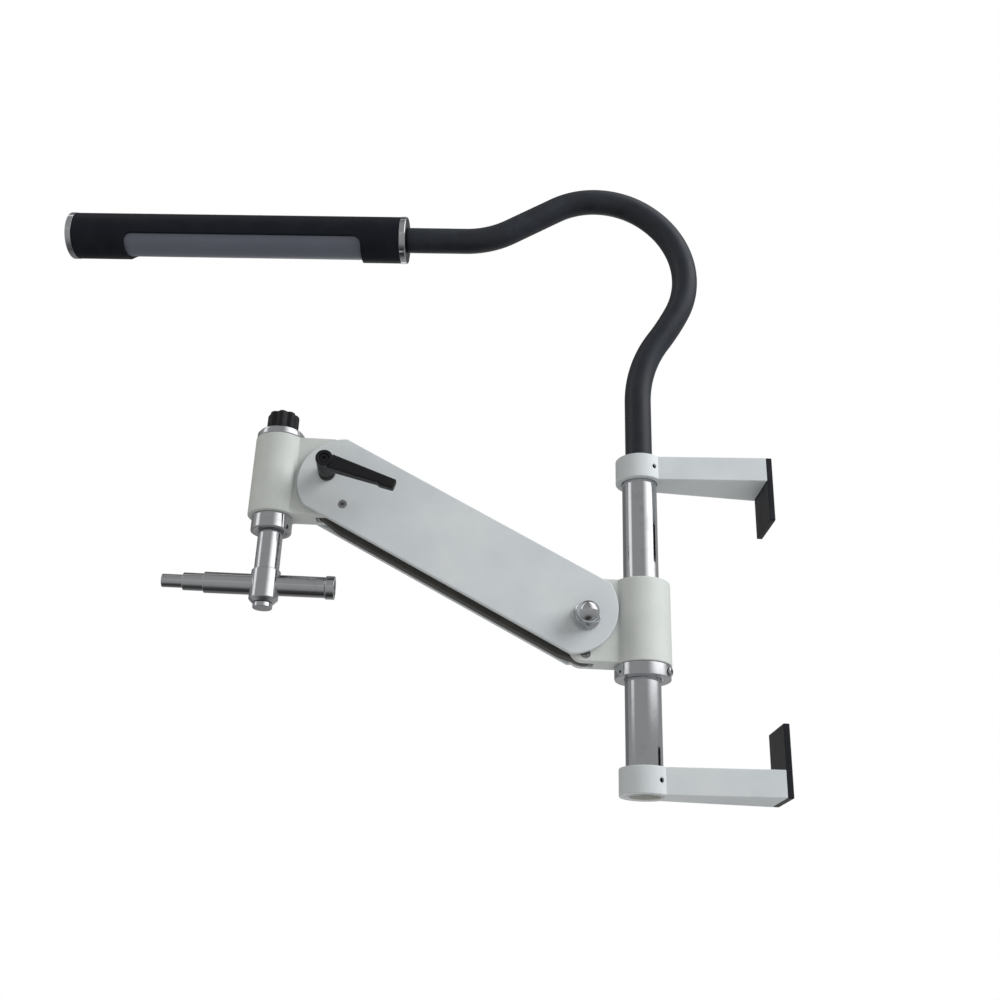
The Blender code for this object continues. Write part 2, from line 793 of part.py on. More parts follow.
def bolt(name, parent, location, thread_radius, thread_end):
    """A bolt across the arm, with its flanged hexagon head behind and its thread in front."""
    flange_back = -SEAT - FLANGE_THICKNESS
    head_back = -SEAT - BOLT_HEAD_HEIGHT
    inside_head = (flange_back + head_back) / 2
    shank = turned(
        name,
        [
            (0, thread_end),
            (thread_radius - EDGE_BREAK / 2, thread_end),
            (thread_radius, thread_end - EDGE_BREAK / 2),
            (thread_radius, ARM_OUTER - EDGE_BREAK),
            (BOLT_RADIUS, ARM_OUTER - EDGE_BREAK),
            (BOLT_RADIUS, -SEAT),
            (FLANGE_RADIUS, -SEAT),
            (FLANGE_RADIUS, flange_back),
            (BOLT_RADIUS, flange_back),
            (BOLT_RADIUS, inside_head),
            (0, inside_head),
        ],
        "steel",
        parent,
        location,
        FORWARD,
    )
    head_front = -SEAT - FLANGE_THICKNESS / 2
    head = prism(
        f"{name}_head",
        6,
        BOLT_HEAD_FLATS / math.sqrt(3),
        head_front - head_back,
        None,
        parent,
        Vector(location) - Vector((0, (head_front + head_back) / 2, 0)),
        FORWARD,
    )
    return cut(shank, head, "UNION")


def cap_nut(name, parent, bolt_end):
    """The domed nut on the bolt at the post's end of the arm, solid above its blind bore."""
    dome_foot = SEAT + NUT_HEX_HEIGHT + NUT_DOME_WALL
    dome = arc(0, dome_foot, NUT_DOME_RADIUS, math.pi / 2, 0, ARC_POINTS)
    flange_front = SEAT + FLANGE_THICKNESS
    foot = [
        (NUT_DOME_RADIUS, flange_front),
        (FLANGE_RADIUS, flange_front),
        (FLANGE_RADIUS, SEAT),
        (0, SEAT),
    ]
    nut = turned(name, dome + foot, "chrome", parent, rotation=FORWARD)
    hexagon_low = SEAT + FLANGE_THICKNESS / 2
    hexagon_high = SEAT + NUT_HEX_HEIGHT
    hexagon = prism(
        f"{name}_hexagon",
        6,
        BOLT_HEAD_FLATS / math.sqrt(3),
        hexagon_high - hexagon_low,
        None,
        parent,
        (0, -(hexagon_low + hexagon_high) / 2, 0),
        FORWARD,
    )
    cut(nut, hexagon, "UNION")
    bore_low = SEAT - OVERRUN
    bore_high = bolt_end + GAP
    bore = prism(
        f"{name}_bore",
        STEPS,
        BOLT_THREAD_RADIUS + GAP,
        bore_high - bore_low,
        None,
        parent,
        (0, -(bore_low + bore_high) / 2, 0),
        FORWARD,
    )
    return cut(nut, bore)


def build_arm(arm):
    """The two side plates, with a boss round each bolt, and their bolts, nut and small screw."""
    middle = frame("arm_middle", arm, (-ARM_LENGTH / 2, 0, 0))
    bolt_holes = prism(
        "bolt_holes",
        STEPS,
        BOLT_HOLE,
        2 * (ARM_OUTER + OVERRUN),
        None,
        arm,
        rotation=FORWARD,
    )
    mirror(bolt_holes, middle, (True, False, False))
    for name, side in (("front_arm_plate", -1), ("back_arm_plate", 1)):
        mesh = slab_mesh(name, [arm_outline()], ARM_PLATE_THICKNESS)
        plate_y = side * (ARM_INNER + ARM_PLATE_THICKNESS / 2)
        plate = add(name, mesh, "white_paint", arm, (0, plate_y, 0), FORWARD)
        break_edges(plate, EDGE_BREAK)
        boss_height = PLATE_BOSS_HEIGHT + ARM_PLATE_THICKNESS / 2
        boss_y = side * (ARM_INNER - PLATE_BOSS_HEIGHT + boss_height / 2)
        bosses = prism(
            f"{name}_bosses", STEPS, PLATE_BOSS_RADIUS, boss_height, None, arm, (0, boss_y, 0), FORWARD
        )
        mirror(bosses, middle, (True, False, False))
        cut(plate, bosses, "UNION")
        cut(plate, bolt_holes)
        if side < 0:
            front = plate

    screw = (
        PLATE_SCREW_RADIUS,
        PLATE_SCREW_HEAD_RADIUS,
        PLATE_SCREW_HEAD_HEIGHT,
        ARM_PLATE_THICKNESS,
        PLATE_SCREW_SOCKET_RADIUS,
    )
    screw_place = (PLATE_SCREW_ALONG - ARM_LENGTH, -ARM_OUTER, -PLATE_SCREW_BELOW)
    turned(
        "arm_plate_screw", screw_profile(*screw), "steel", arm, screw_place, FORWARD, COARSE_STEPS
    )
    hole = turned(
        "plate_screw_hole", screw_profile(*screw, GAP), None, arm, screw_place, FORWARD, COARSE_STEPS
    )
    cut(front, hole)

    bolt_end = SEAT + BOLT_REACH_IN_NUT
    bolt("arm_bolt", arm, AT_PARENT, BOLT_THREAD_RADIUS, bolt_end)
    bolt("lever_stud", arm, (-ARM_LENGTH, 0, 0), STUD_THREAD_RADIUS, SEAT + STUD_THREAD_LENGTH)
    cap_nut("cap_nut", arm, bolt_end)


def build_link(link):
    """The black bar that keeps the head level, with a tapered eye at each end."""
    lean = math.radians(80)
    near_end = arc(0, 0, LINK_EYE_RADIUS, -lean, lean)
    far_end = arc(-ARM_LENGTH, 0, LINK_EYE_RADIUS, math.pi - lean, math.pi + lean)
    far_taper = LINK_TAPER - ARM_LENGTH
    outline = near_end + [(-LINK_TAPER, LINK_HALF_HEIGHT), (far_taper, LINK_HALF_HEIGHT)]
    outline += far_end + [(far_taper, -LINK_HALF_HEIGHT), (-LINK_TAPER, -LINK_HALF_HEIGHT)]
    pin_hole = LINK_PIN_RADIUS + GAP
    holes = [circle(0, 0, pin_hole), circle(-ARM_LENGTH, 0, pin_hole)]
    mesh = slab_mesh("link_bar", [outline, *holes], LINK_THICKNESS)
    bar = add("link_bar", mesh, "black_paint", link, rotation=FORWARD)
    break_edges(bar, EDGE_BREAK)


def grip_outline():
    """The lever's grip from the hub's axis to its square end, with a shallow heel below the end."""
    half = GRIP_HALF_AT_END
    heel_half = half + GRIP_HEEL
    corner = GRIP_CORNER
    inner = GRIP_LENGTH - corner
    heel_start = GRIP_LENGTH - GRIP_HEEL_LENGTH
    taper_share = (GRIP_HALF_AT_HUB - half) / GRIP_LENGTH
    half_at_heel = half + taper_share * GRIP_HEEL_LENGTH
    heel = [(heel_start, -half_at_heel), (heel_start + GRIP_HEEL_SLOPE, -heel_half)]
    lower = arc(inner, corner - heel_half, corner, -math.pi / 2, 0, CORNER_POINTS)
    upper = arc(inner, half - corner, corner, 0, math.pi / 2, CORNER_POINTS)
    return [(0, -GRIP_HALF_AT_HUB)] + heel + lower + upper + [(0, GRIP_HALF_AT_HUB)]


def build_lever(pivot):
    """The adjustable clamp lever: a threaded insert, the handle that lifts off it, and its screw."""
    insert_top = SEAT + INSERT_LENGTH
    hub_low = SEAT + GAP
    hub_top = hub_low + HUB_HEIGHT
    bore_top = insert_top + GAP
    ledge_top = bore_top + HUB_LEDGE
    head_low = ledge_top + LEVER_LIFT + GAP
    thread_hole = STUD_THREAD_RADIUS + GAP
    screw_hole = LEVER_SCREW_RADIUS + GAP
    stud_top = SEAT + STUD_THREAD_LENGTH + GAP
    turned(
        "lever_insert",
        [
            (screw_hole, insert_top),
            (INSERT_RADIUS, insert_top),
            (INSERT_RADIUS, SEAT),
            (thread_hole, SEAT),
            (thread_hole, stud_top),
            (screw_hole, stud_top),
        ],
        "steel",
        pivot,
        rotation=FORWARD,
        ring=True,
    )
    turned(
        "lever_screw",
        [
            (0, head_low + LEVER_SCREW_HEAD_HEIGHT),
            (LEVER_SCREW_HEAD_RADIUS, head_low + LEVER_SCREW_HEAD_HEIGHT),
            (LEVER_SCREW_HEAD_RADIUS, head_low),
            (LEVER_SCREW_RADIUS, head_low),
            (LEVER_SCREW_RADIUS, head_low - LEVER_SCREW_LENGTH),
            (0, head_low - LEVER_SCREW_LENGTH),
        ],
        "steel",
        pivot,
        rotation=FORWARD,
        steps=COARSE_STEPS,
    )
    handle = turned(
        "lever_handle",
        disc_profile(HUB_RADIUS, hub_low, hub_top),
        "black_plastic",
        pivot,
        rotation=FORWARD,
    )
    lean = (math.pi / 2, -LEVER_ANGLE, 0)
    grip_middle = hub_top - GRIP_BELOW_TOP - GRIP_THICKNESS / 2
    mesh = slab_mesh("lever_grip", [grip_outline()], GRIP_THICKNESS)
    grip = add("lever_grip", mesh, None, pivot, (0, -grip_middle, 0), lean)
    break_edges(grip, EDGE_BREAK)
    cut(handle, grip, "UNION")
    room = turned(
        "lever_room",
        [
            (0, hub_top + OVERRUN),
            (LEVER_SCREW_HEAD_RADIUS + GAP, hub_top + OVERRUN),
            (LEVER_SCREW_HEAD_RADIUS + GAP, ledge_top),
            (screw_hole, ledge_top),
            (screw_hole, bore_top),
            (INSERT_RADIUS + GAP, bore_top),
            (INSERT_RADIUS + GAP, hub_low - OVERRUN),
            (0, hub_low - OVERRUN),
        ],
        None,
        pivot,
        rotation=FORWARD,
    )
    cut(handle, room)


def knob_outline():
    """The knob's lobed outline, from a cosine round its rim."""
    count = KNOB_LOBES * KNOB_POINTS_PER_LOBE
    points = []
    for index in range(count):
        angle = 2 * math.pi * index / count
        radius = KNOB_RADIUS - KNOB_FLUTE_DEPTH * (1 - math.cos(KNOB_LOBES * angle)) / 2
        points.append((radius * math.cos(angle), radius * math.sin(angle)))
    return points


def build_head(level, axis):
    """The head block on the arm's end, with what turns in it, on top of it and below it."""
    lug_frame = fork_block("head_block", HEAD_RADIUS, HEAD_BORE, HEAD_REACH, axis, 0)
    block_bush("head_bush", HEAD_BORE - GAP, SPINDLE_NECK_RADIUS + GAP, axis)
    link_pin("front_link_pin", level, 0)

    ring_low = HALF_BLOCK + GAP
    ring_high = ring_low + TOP_RING_HEIGHT
    step = ring_high - TOP_RING_STEP
    neck_hole = SPINDLE_NECK_RADIUS + GAP
    turned(
        "head_top_ring",
        [
            (neck_hole, ring_high),
            (TOP_RING_RADIUS - TOP_RING_STEP, ring_high),
            (TOP_RING_RADIUS - TOP_RING_STEP, step),
            (TOP_RING_RADIUS, step - EDGE_BREAK),
            (TOP_RING_RADIUS, ring_low + EDGE_BREAK),
            (TOP_RING_RADIUS - EDGE_BREAK, ring_low),
            (neck_hole, ring_low),
        ],
        "chrome",
        axis,
        steps=FINE_STEPS,
        ring=True,
    )

    shoulder = -HALF_BLOCK - GAP
    rod_z = -HALF_BLOCK - ROD_BELOW_HEAD
    cross_top = rod_z + CROSS_HEAD_ABOVE_ROD
    cross_low = rod_z - CROSS_HEAD_BELOW_ROD
    thread_low = ring_high - EDGE_BREAK
    thread_top = thread_low + SPINDLE_THREAD_LENGTH
    spindle = turned(
        "head_spindle",
        [
            (0, thread_top),
            (SPINDLE_THREAD_RADIUS, thread_top),
            (SPINDLE_THREAD_RADIUS, thread_low),
            (SPINDLE_NECK_RADIUS, thread_low),
            (SPINDLE_NECK_RADIUS, shoulder),
            (SPINDLE_RADIUS, shoulder),
            (SPINDLE_RADIUS, cross_top),
            (CROSS_HEAD_RADIUS, cross_top - EDGE_BREAK / 2),
            (CROSS_HEAD_RADIUS, cross_low + CROSS_HEAD_CHAMFER),
            (CROSS_HEAD_RADIUS - CROSS_HEAD_CHAMFER, cross_low),
            (0, cross_low),
        ],
        "chrome",
        axis,
        steps=FINE_STEPS,
    )
    rod_hole = prism(
        "rod_hole",
        FINE_STEPS,
        ROD_BORE,
        2 * (CROSS_HEAD_RADIUS + OVERRUN),
        None,
        axis,
        (0, ROD_BEHIND_SPINDLE, rod_z),
        RIGHT,
    )
    clamp_length = CROSS_HEAD_BELOW_ROD - ROD_SLEEVE_RADIUS
    clamp_hole = prism(
        "clamp_hole",
        COARSE_STEPS,
        CLAMP_SCREW_RADIUS + GAP,
        clamp_length + 2 * OVERRUN,
        None,
        axis,
        (0, 0, cross_low + clamp_length / 2),
    )
    cut(spindle, rod_hole)
    cut(spindle, clamp_hole)

    collar_low = shoulder - HEAD_COLLAR_HEIGHT
    spindle_hole = SPINDLE_RADIUS + GAP
    turned(
        "head_collar",
        [
            (spindle_hole, shoulder),
            (HEAD_COLLAR_RADIUS, shoulder),
            (HEAD_COLLAR_RADIUS, collar_low + EDGE_BREAK),
            (HEAD_COLLAR_RADIUS - EDGE_BREAK, collar_low),
            (HEAD_COLLAR_RECESS_RADIUS, collar_low),
            (HEAD_COLLAR_RECESS_RADIUS, collar_low + HEAD_COLLAR_RECESS_DEPTH),
            (spindle_hole, collar_low + HEAD_COLLAR_RECESS_DEPTH),
        ],
        "chrome",
        axis,
        steps=FINE_STEPS,
        ring=True,
    )
    turned(
        "rod_clamp_screw",
        [
            (0, rod_z - ROD_BORE),
            (CLAMP_SCREW_RADIUS, rod_z - ROD_BORE),
            (CLAMP_SCREW_RADIUS, cross_low - GAP),
            (CLAMP_HEAD_RADIUS - EDGE_BREAK, cross_low - GAP),
            (CLAMP_HEAD_RADIUS, cross_low - GAP - EDGE_BREAK),
            (CLAMP_HEAD_RADIUS, cross_low - GAP - CLAMP_HEAD_HEIGHT + EDGE_BREAK),
            (CLAMP_HEAD_RADIUS - EDGE_BREAK, cross_low - GAP - CLAMP_HEAD_HEIGHT),
            (0, cross_low - GAP - CLAMP_HEAD_HEIGHT),
        ],
        "chrome",
        axis,
    )

    boss_low = ring_high + GAP
    knob_low = boss_low + KNOB_BOSS_HEIGHT
    mesh = slab_mesh("lock_knob", [knob_outline()], KNOB_HEIGHT)
    knob = add("lock_knob", mesh, "black_plastic", axis, (0, 0, knob_low + KNOB_HEIGHT / 2))
    break_edges(knob, KNOB_EDGE)
    boss_height = KNOB_BOSS_HEIGHT + OVERRUN
    boss = prism(
        "knob_boss",
        STEPS,
        KNOB_BOSS_RADIUS,
        boss_height,
        None,
        axis,
        (0, 0, boss_low + boss_height / 2),
    )
    cut(knob, boss, "UNION")
    bore_low = boss_low - OVERRUN
    bore_height = thread_top + GAP - bore_low
    bore = prism(
        "knob_bore",
        COARSE_STEPS,
        SPINDLE_THREAD_RADIUS + GAP,
        bore_height,
        None,
        axis,
        (0, 0, bore_low + bore_height / 2),
    )
    cut(knob, bore)
    return lug_frame


def build_rod(rod):
    """The rod through the cross head, turned about its own length with its tip towards +Z."""
    half = ROD_SLEEVE_LENGTH / 2
    turned(
        "rod_sleeve",
        ring_profile(ROD_SLEEVE_RADIUS, SHAFT_BORE, -half, half),
        "chrome",
        rod,
        steps=FINE_STEPS,
        ring=True,
    )
    step_end = half + SHAFT_STEP_LENGTH
    tip_end = step_end + TIP_LENGTH
    shaft_back = -half - GAP - SHAFT_IN_CAP
    turned(
        "stepped_shaft",
        [
            (0, tip_end),
            (TIP_RADIUS - EDGE_BREAK, tip_end),
            (TIP_RADIUS, tip_end - EDGE_BREAK),
            (TIP_RADIUS, step_end),
            (SHAFT_RADIUS - EDGE_BREAK, step_end),
            (SHAFT_RADIUS, step_end - EDGE_BREAK),
            (SHAFT_RADIUS, shaft_back),
            (0, shaft_back),
        ],
        "chrome",
        rod,
        steps=FINE_STEPS,
    )
    cap_top = -half - GAP
    cap_low = cap_top - END_CAP_LENGTH
    turned(
        "rod_end_cap",
        [
            (0, shaft_back - GAP),
            (SHAFT_BORE, shaft_back - GAP),
            (SHAFT_BORE, cap_top),
            (END_CAP_RADIUS - EDGE_BREAK, cap_top),
            (END_CAP_RADIUS, cap_top - EDGE_BREAK),
            (END_CAP_RADIUS, cap_low + EDGE_BREAK),
            (END_CAP_RADIUS - EDGE_BREAK, cap_low),
            (END_CAP_RECESS_RADIUS, cap_low),
            (END_CAP_RECESS_RADIUS, cap_low + END_CAP_RECESS_DEPTH),
            (0, cap_low + END_CAP_RECESS_DEPTH),
        ],
        "chrome",
        rod,
        steps=FINE_STEPS,
    )


class NeckLine:
    """The gooseneck's centre line, from its arcs: places and directions along its length."""

    def __init__(self):
        """Lay the arcs end to end in short straight slices."""
        self.stations = [(0.0, Vector((0, 0, NECK_FOOT)), Vector((0, 0, 1)))]
        along, point, lean, yaw = 0.0, Vector((0, 0, NECK_FOOT)), 0.0, 0.0
        for length, turn, side in NECK_ARCS:
            step = length / NECK_SLICES
            for index in range(NECK_SLICES):
                middle = (index + 0.5) / NECK_SLICES
                point = point + self.heading(lean + turn * middle, yaw + side * middle) * step
                along += step
                done = (index + 1) / NECK_SLICES
                here = self.heading(lean + turn * done, yaw + side * done)
                self.stations.append((along, point, here))
            lean += turn
            yaw += side

    @staticmethod
    def heading(lean, yaw):
        """The direction that leans from straight up towards +X, then turns about the vertical."""
        across = math.sin(lean)
        return Vector((across * math.cos(yaw), across * math.sin(yaw), math.cos(lean)))

    def at(self, along):
        """The place and the direction at a length from the foot."""
        for (low, start, first), (high, stop, last) in zip(self.stations, self.stations[1:]):
            if along <= high:
                share = (along - low) / (high - low)
                return start.lerp(stop, share), first.lerp(last, share).normalized()
        return self.stations[-1][1], self.stations[-1][2]

    def route(self, start, stop, end_step):
        """Points from one length to another, with a short straight piece at each end."""
        count = math.ceil((stop - start) / (NECK_STEP_SHARE * NECK_LENGTH))
        inner = [self.at(start + (stop - start) * index / count)[0] for index in range(1, count)]
        first, leaving = self.at(start)
        last, arriving = self.at(stop)
        return [first, first + leaving * end_step, *inner, last - arriving * end_step, last]


def build_neck(post):
    """The gooseneck's lengths between its bends: a steel core in a rubber sleeve for each."""
    line = NeckLine()
    bends = [share * NECK_LENGTH for share in NECK_HINGE_SHARES]
    starts = [0.0] + bends
    stops = bends + [NECK_LENGTH]
    for index, (start, stop) in enumerate(zip(starts, stops)):
        number = index + 1
        at_lamp = stop == NECK_LENGTH
        if index:
            holder = frame(f"neck_bend_{index}", post, line.at(start)[0])
            origin = holder.location.copy()
        else:
            holder, origin = post, Vector(AT_PARENT)

        name = f"neck_sleeve_{number}"
        route = line.route(start + GAP / 2, stop - GAP / 2, NECK_END_STEP)
        points = [point - origin for point in route]
        solid = rod_curve(name, points, NECK_SLEEVE_RADIUS, SLEEVE_RESOLUTION)
        sleeve = add(name, closed_mesh(name, solid), "black_rubber", holder)
        before = points[0] + (points[0] - points[1]).normalized() * OVERRUN
        after = points[-1] + (points[-1] - points[-2]).normalized() * OVERRUN
        name = f"neck_bore_{number}"
        inside = rod_curve(
            name, [before, *points, after], NECK_SLEEVE_RADIUS - NECK_SLEEVE_WALL, SLEEVE_RESOLUTION
        )
        cut(sleeve, add(name, closed_mesh(name, inside), None, holder))

        core_start = start + GAP / 2 if index else PLUG_BOSS_HEIGHT + GAP
        core_stop = stop if at_lamp else stop - GAP / 2
        route = line.route(core_start, core_stop, NECK_CONE_LENGTH)
        shares = [1.0] * len(route)
        if index:
            shares[0] = NECK_TIP_SHARE
        if at_lamp:
            end, direction = line.at(NECK_LENGTH)
            route.append(end + direction * NECK_END_IN_LAMP)
            shares.append(1.0)
        else:
            shares[-1] = NECK_TIP_SHARE
        points = [point - origin for point in route]
        name = f"neck_core_{number}"
        core = rod_curve(name, points, NECK_CORE_RADIUS, CORE_RESOLUTION, shares)
        add(name, core, "steel", holder)
    return line, holder


def build_lamp(post, line, last_bend):
    """The lamp, turned about its own length from the neck's end, with +X through its window."""
    end, direction = line.at(NECK_LENGTH)
    down = Vector((0, 0, -1))
    window = (down - direction * down.dot(direction)).normalized()
    side = direction.cross(window)
    turn = Matrix((window, side, direction)).transposed().to_euler()
    lamp = frame("lamp_axis", post, end, turn)
    neck_end = frame("neck_end", last_bend, end - last_bend.location, turn)

    neck_hole = NECK_CORE_RADIUS + GAP
    nut_low = LAMP_CAP_THICKNESS + GAP
    turned(
        "neck_end_nut",
        ring_profile(NECK_NUT_RADIUS, neck_hole, nut_low, nut_low + NECK_NUT_HEIGHT),
        "steel",
        neck_end,
        ring=True,
    )

    shell_low = LAMP_RING_LENGTH + GAP
    shell = turned(
        "lamp_shell",
        ring_profile(
            LAMP_RADIUS, LAMP_RADIUS - LAMP_WALL, shell_low, LAMP_LENGTH - shell_low, EDGE_BREAK / 2
        ),
        "black_paint",
        lamp,
        steps=FINE_STEPS,
        ring=True,
    )
    floor = LAMP_RADIUS * math.cos(WINDOW_HALF_ANGLE)
    outside = LAMP_RADIUS + OVERRUN
    first, last = WINDOW_START, WINDOW_END
    near = arc(first + WINDOW_CORNER, floor + WINDOW_CORNER, WINDOW_CORNER, math.pi, 1.5 * math.pi, 5)
    far = arc(last - WINDOW_CORNER, floor + WINDOW_CORNER, WINDOW_CORNER, -math.pi / 2, 0, 5)
    outline = [(first, outside)] + near + far + [(last, outside)]
    along_lamp = Matrix(((0, 1, 0), (0, 0, 1), (1, 0, 0))).to_euler()
    mesh = slab_mesh("lamp_window", [outline], 2 * outside)
    cut(shell, add("lamp_window", mesh, None, lamp, rotation=along_lamp))

    backwards = (math.pi, 0, 0)
    for name, location, rotation, bore in (
        ("near", AT_PARENT, UP, neck_hole),
        ("far", (0, 0, LAMP_LENGTH), backwards, None),
    ):
        turned(
            f"lamp_{name}_ring",
            [
                (DIFFUSER_RADIUS + GAP, LAMP_RING_LENGTH),
                (LAMP_RING_RADIUS, LAMP_RING_LENGTH),
                (LAMP_RING_RADIUS, EDGE_BREAK),
                (LAMP_RING_RADIUS - EDGE_BREAK, 0),
                (LAMP_CAP_RADIUS + GAP, 0),
                (LAMP_CAP_RADIUS + GAP, LAMP_CAP_THICKNESS + GAP),
                (DIFFUSER_RADIUS + GAP, LAMP_CAP_THICKNESS + GAP),
            ],
            "chrome",
            lamp,
            location,
            rotation,
            FINE_STEPS,
            ring=True,
        )
        if bore:
            cap = ring_profile(LAMP_CAP_RADIUS, bore, 0, LAMP_CAP_THICKNESS)
        else:
            cap = disc_profile(LAMP_CAP_RADIUS, 0, LAMP_CAP_THICKNESS)
        turned(
            f"lamp_{name}_cap",
            cap,
            "black_plastic",
            lamp,
            location,
            rotation,
            FINE_STEPS,
            ring=bool(bore),
        )
    turned(
        "lamp_diffuser",
        ring_profile(
            DIFFUSER_RADIUS,
            DIFFUSER_BORE,
            LAMP_CAP_THICKNESS + GAP,
            LAMP_LENGTH - LAMP_CAP_THICKNESS - GAP,
            EDGE_BREAK / 2,
        ),
        "frosted",
        lamp,
        steps=FINE_STEPS,
        ring=True,
    )
    socket_end = SOCKET_START + SOCKET_LENGTH
    turned(
        "lamp_socket",
        disc_profile(DIFFUSER_BORE - GAP, SOCKET_START, socket_end),
        "white_plastic",
        lamp,
        steps=FINE_STEPS,
    )
    reflector_radius = DIFFUSER_BORE - GAP
    reflector = turned(
        "lamp_reflector",
        [
            (reflector_radius, LAMP_LENGTH - LAMP_CAP_THICKNESS - GAP),
            (reflector_radius, socket_end + GAP),
        ],
        "white_plastic",
        lamp,
        rotation=(0, 0, math.pi / 2),
        steps=FINE_STEPS // 2,
    )
    reflector.modifiers["turn"].angle = math.pi
    sheet = reflector.modifiers.new("wall", "SOLIDIFY")
    sheet.thickness = REFLECTOR_THICKNESS
    sheet.offset = -1

    half = GLASS_TUBE_SPACING / 2
    bend = arc(0, LAMP_LENGTH - GLASS_TUBE_MARGIN, half, 0, math.pi, 9)
    route = [(half, socket_end + GAP)] + bend + [(-half, socket_end + GAP)]
    points = [(GLASS_TUBE_FORWARD, across, along) for across, along in route]
    glass = rod_curve("lamp_tube", points, GLASS_TUBE_RADIUS, CORE_RESOLUTION)
    add("lamp_tube", glass, "glass", lamp)


def build():
    """Make every frame and every sub-part."""
    post = frame("post_axis", None, (POST_X, 0, POST_FOOT_Z))
    build_wall_frame(post)
    swing = frame("swing_axis", post, (0, 0, PIVOT_HEIGHT))
    build_height_collar(swing)
    build_swing_block(swing)
    arm = frame("arm_axis", swing, (-PIVOT_REACH, 0, 0), (0, ARM_TILT, 0))
    build_arm(arm)
    link = frame("link_axis", swing, (-PIVOT_REACH, 0, -LINK_DROP), (0, ARM_TILT, 0))
    build_link(link)
    level = frame("level_axis", swing, HEAD_PIVOT + Vector((-PIVOT_REACH, 0, 0)))
    build_lever(level)
    head = frame("head_axis", level, (-HEAD_REACH, 0, 0))
    build_head(level, head)
    rod_place = (0, ROD_BEHIND_SPINDLE, -HALF_BLOCK - ROD_BELOW_HEAD)
    rod = frame("rod_axis", head, rod_place, LEFT)
    build_rod(rod)
    line, last_bend = build_neck(post)
    build_lamp(post, line, last_bend)


build()
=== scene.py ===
"""Looks of the phoropter arm stand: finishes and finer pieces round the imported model, and a studio.

All lengths are in metres, in the model's own frame: the origin is the centre of the lower
mounting plate's outer face, +X points out of that face, +Z is up and +Y away from the front.
"""

import json
import logging
import math
from collections.abc import Sequence
from dataclasses import dataclass
from enum import Enum

import bmesh
import bpy
from mathutils import Matrix, Vector
from mathutils.geometry import tessellate_polygon

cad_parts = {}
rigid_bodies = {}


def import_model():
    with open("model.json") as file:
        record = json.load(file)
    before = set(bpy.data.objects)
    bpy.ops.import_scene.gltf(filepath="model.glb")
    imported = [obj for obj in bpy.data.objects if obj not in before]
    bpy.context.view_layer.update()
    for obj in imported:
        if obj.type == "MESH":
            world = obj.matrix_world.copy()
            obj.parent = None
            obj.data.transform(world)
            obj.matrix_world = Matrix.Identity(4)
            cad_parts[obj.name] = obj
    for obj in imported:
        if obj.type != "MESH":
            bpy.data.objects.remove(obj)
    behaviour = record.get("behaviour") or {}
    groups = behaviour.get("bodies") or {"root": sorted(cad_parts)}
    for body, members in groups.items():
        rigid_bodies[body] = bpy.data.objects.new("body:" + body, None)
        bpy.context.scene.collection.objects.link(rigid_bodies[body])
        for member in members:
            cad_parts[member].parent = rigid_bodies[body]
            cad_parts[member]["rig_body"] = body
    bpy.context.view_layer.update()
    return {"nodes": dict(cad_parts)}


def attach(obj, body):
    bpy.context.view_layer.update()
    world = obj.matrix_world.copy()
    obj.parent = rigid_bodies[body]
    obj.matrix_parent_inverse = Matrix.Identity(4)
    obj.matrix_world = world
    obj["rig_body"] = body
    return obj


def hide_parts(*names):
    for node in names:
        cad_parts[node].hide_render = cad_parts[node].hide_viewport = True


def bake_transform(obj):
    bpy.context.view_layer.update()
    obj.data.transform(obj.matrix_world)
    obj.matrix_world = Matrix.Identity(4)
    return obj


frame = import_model()

LOG = logging.getLogger("phoropter_arm_stand")

Point = tuple[float, float]
Colour = tuple[float, float, float]

GAP = 0.0003  # between neighbouring pieces
OVERRUN = 0.002  # how far a cutter runs past the face that it opens
AXIS_RADIUS = 1e-7  # nearer to the axis than this, a turned profile meets it
SMOOTH_ANGLE = math.radians(34)
FINE = 128  # facets of the largest turned pieces
ROUND = 96
SMALL_ROUND = 48
HEXAGON = 6
EDGE_STEPS = 3  # facets of a small round edge
CORNER_SHARE = 0.48  # the most of a side that a round corner takes
SHARPEST = 0.3  # limits how far an inset moves a sharp corner
QUARTER = math.pi / 2

# Directions of a piece's own Z in its sub-assembly
FORWARD = Matrix.Rotation(QUARTER, 4, "X")  # to the front, with its own Y upwards
RIGHT = Matrix.Rotation(QUARTER, 4, "Y")
LEFT = Matrix.Rotation(-QUARTER, 4, "Y")
BACKWARDS = Matrix.Rotation(math.pi, 4, "X")
UPRIGHT = Matrix.Identity(4)


class Slot(Enum):
    """The record's material slots."""

    WHITE_PAINT = "white_paint"
    BLACK_PAINT = "black_paint"
    BLACK_SHELL = "black_shell"
    BLACK_PLASTIC = "black_plastic"
    BLACK_RUBBER = "black_rubber"
    CHROME = "chrome"
    STEEL = "steel"
    BRONZE = "bronze"
    FROSTED = "frosted"
    WHITE_PLASTIC = "white_plastic"
    GLASS = "glass"


# ---------------------------------------------------------------------------------------------
# Shader expressions


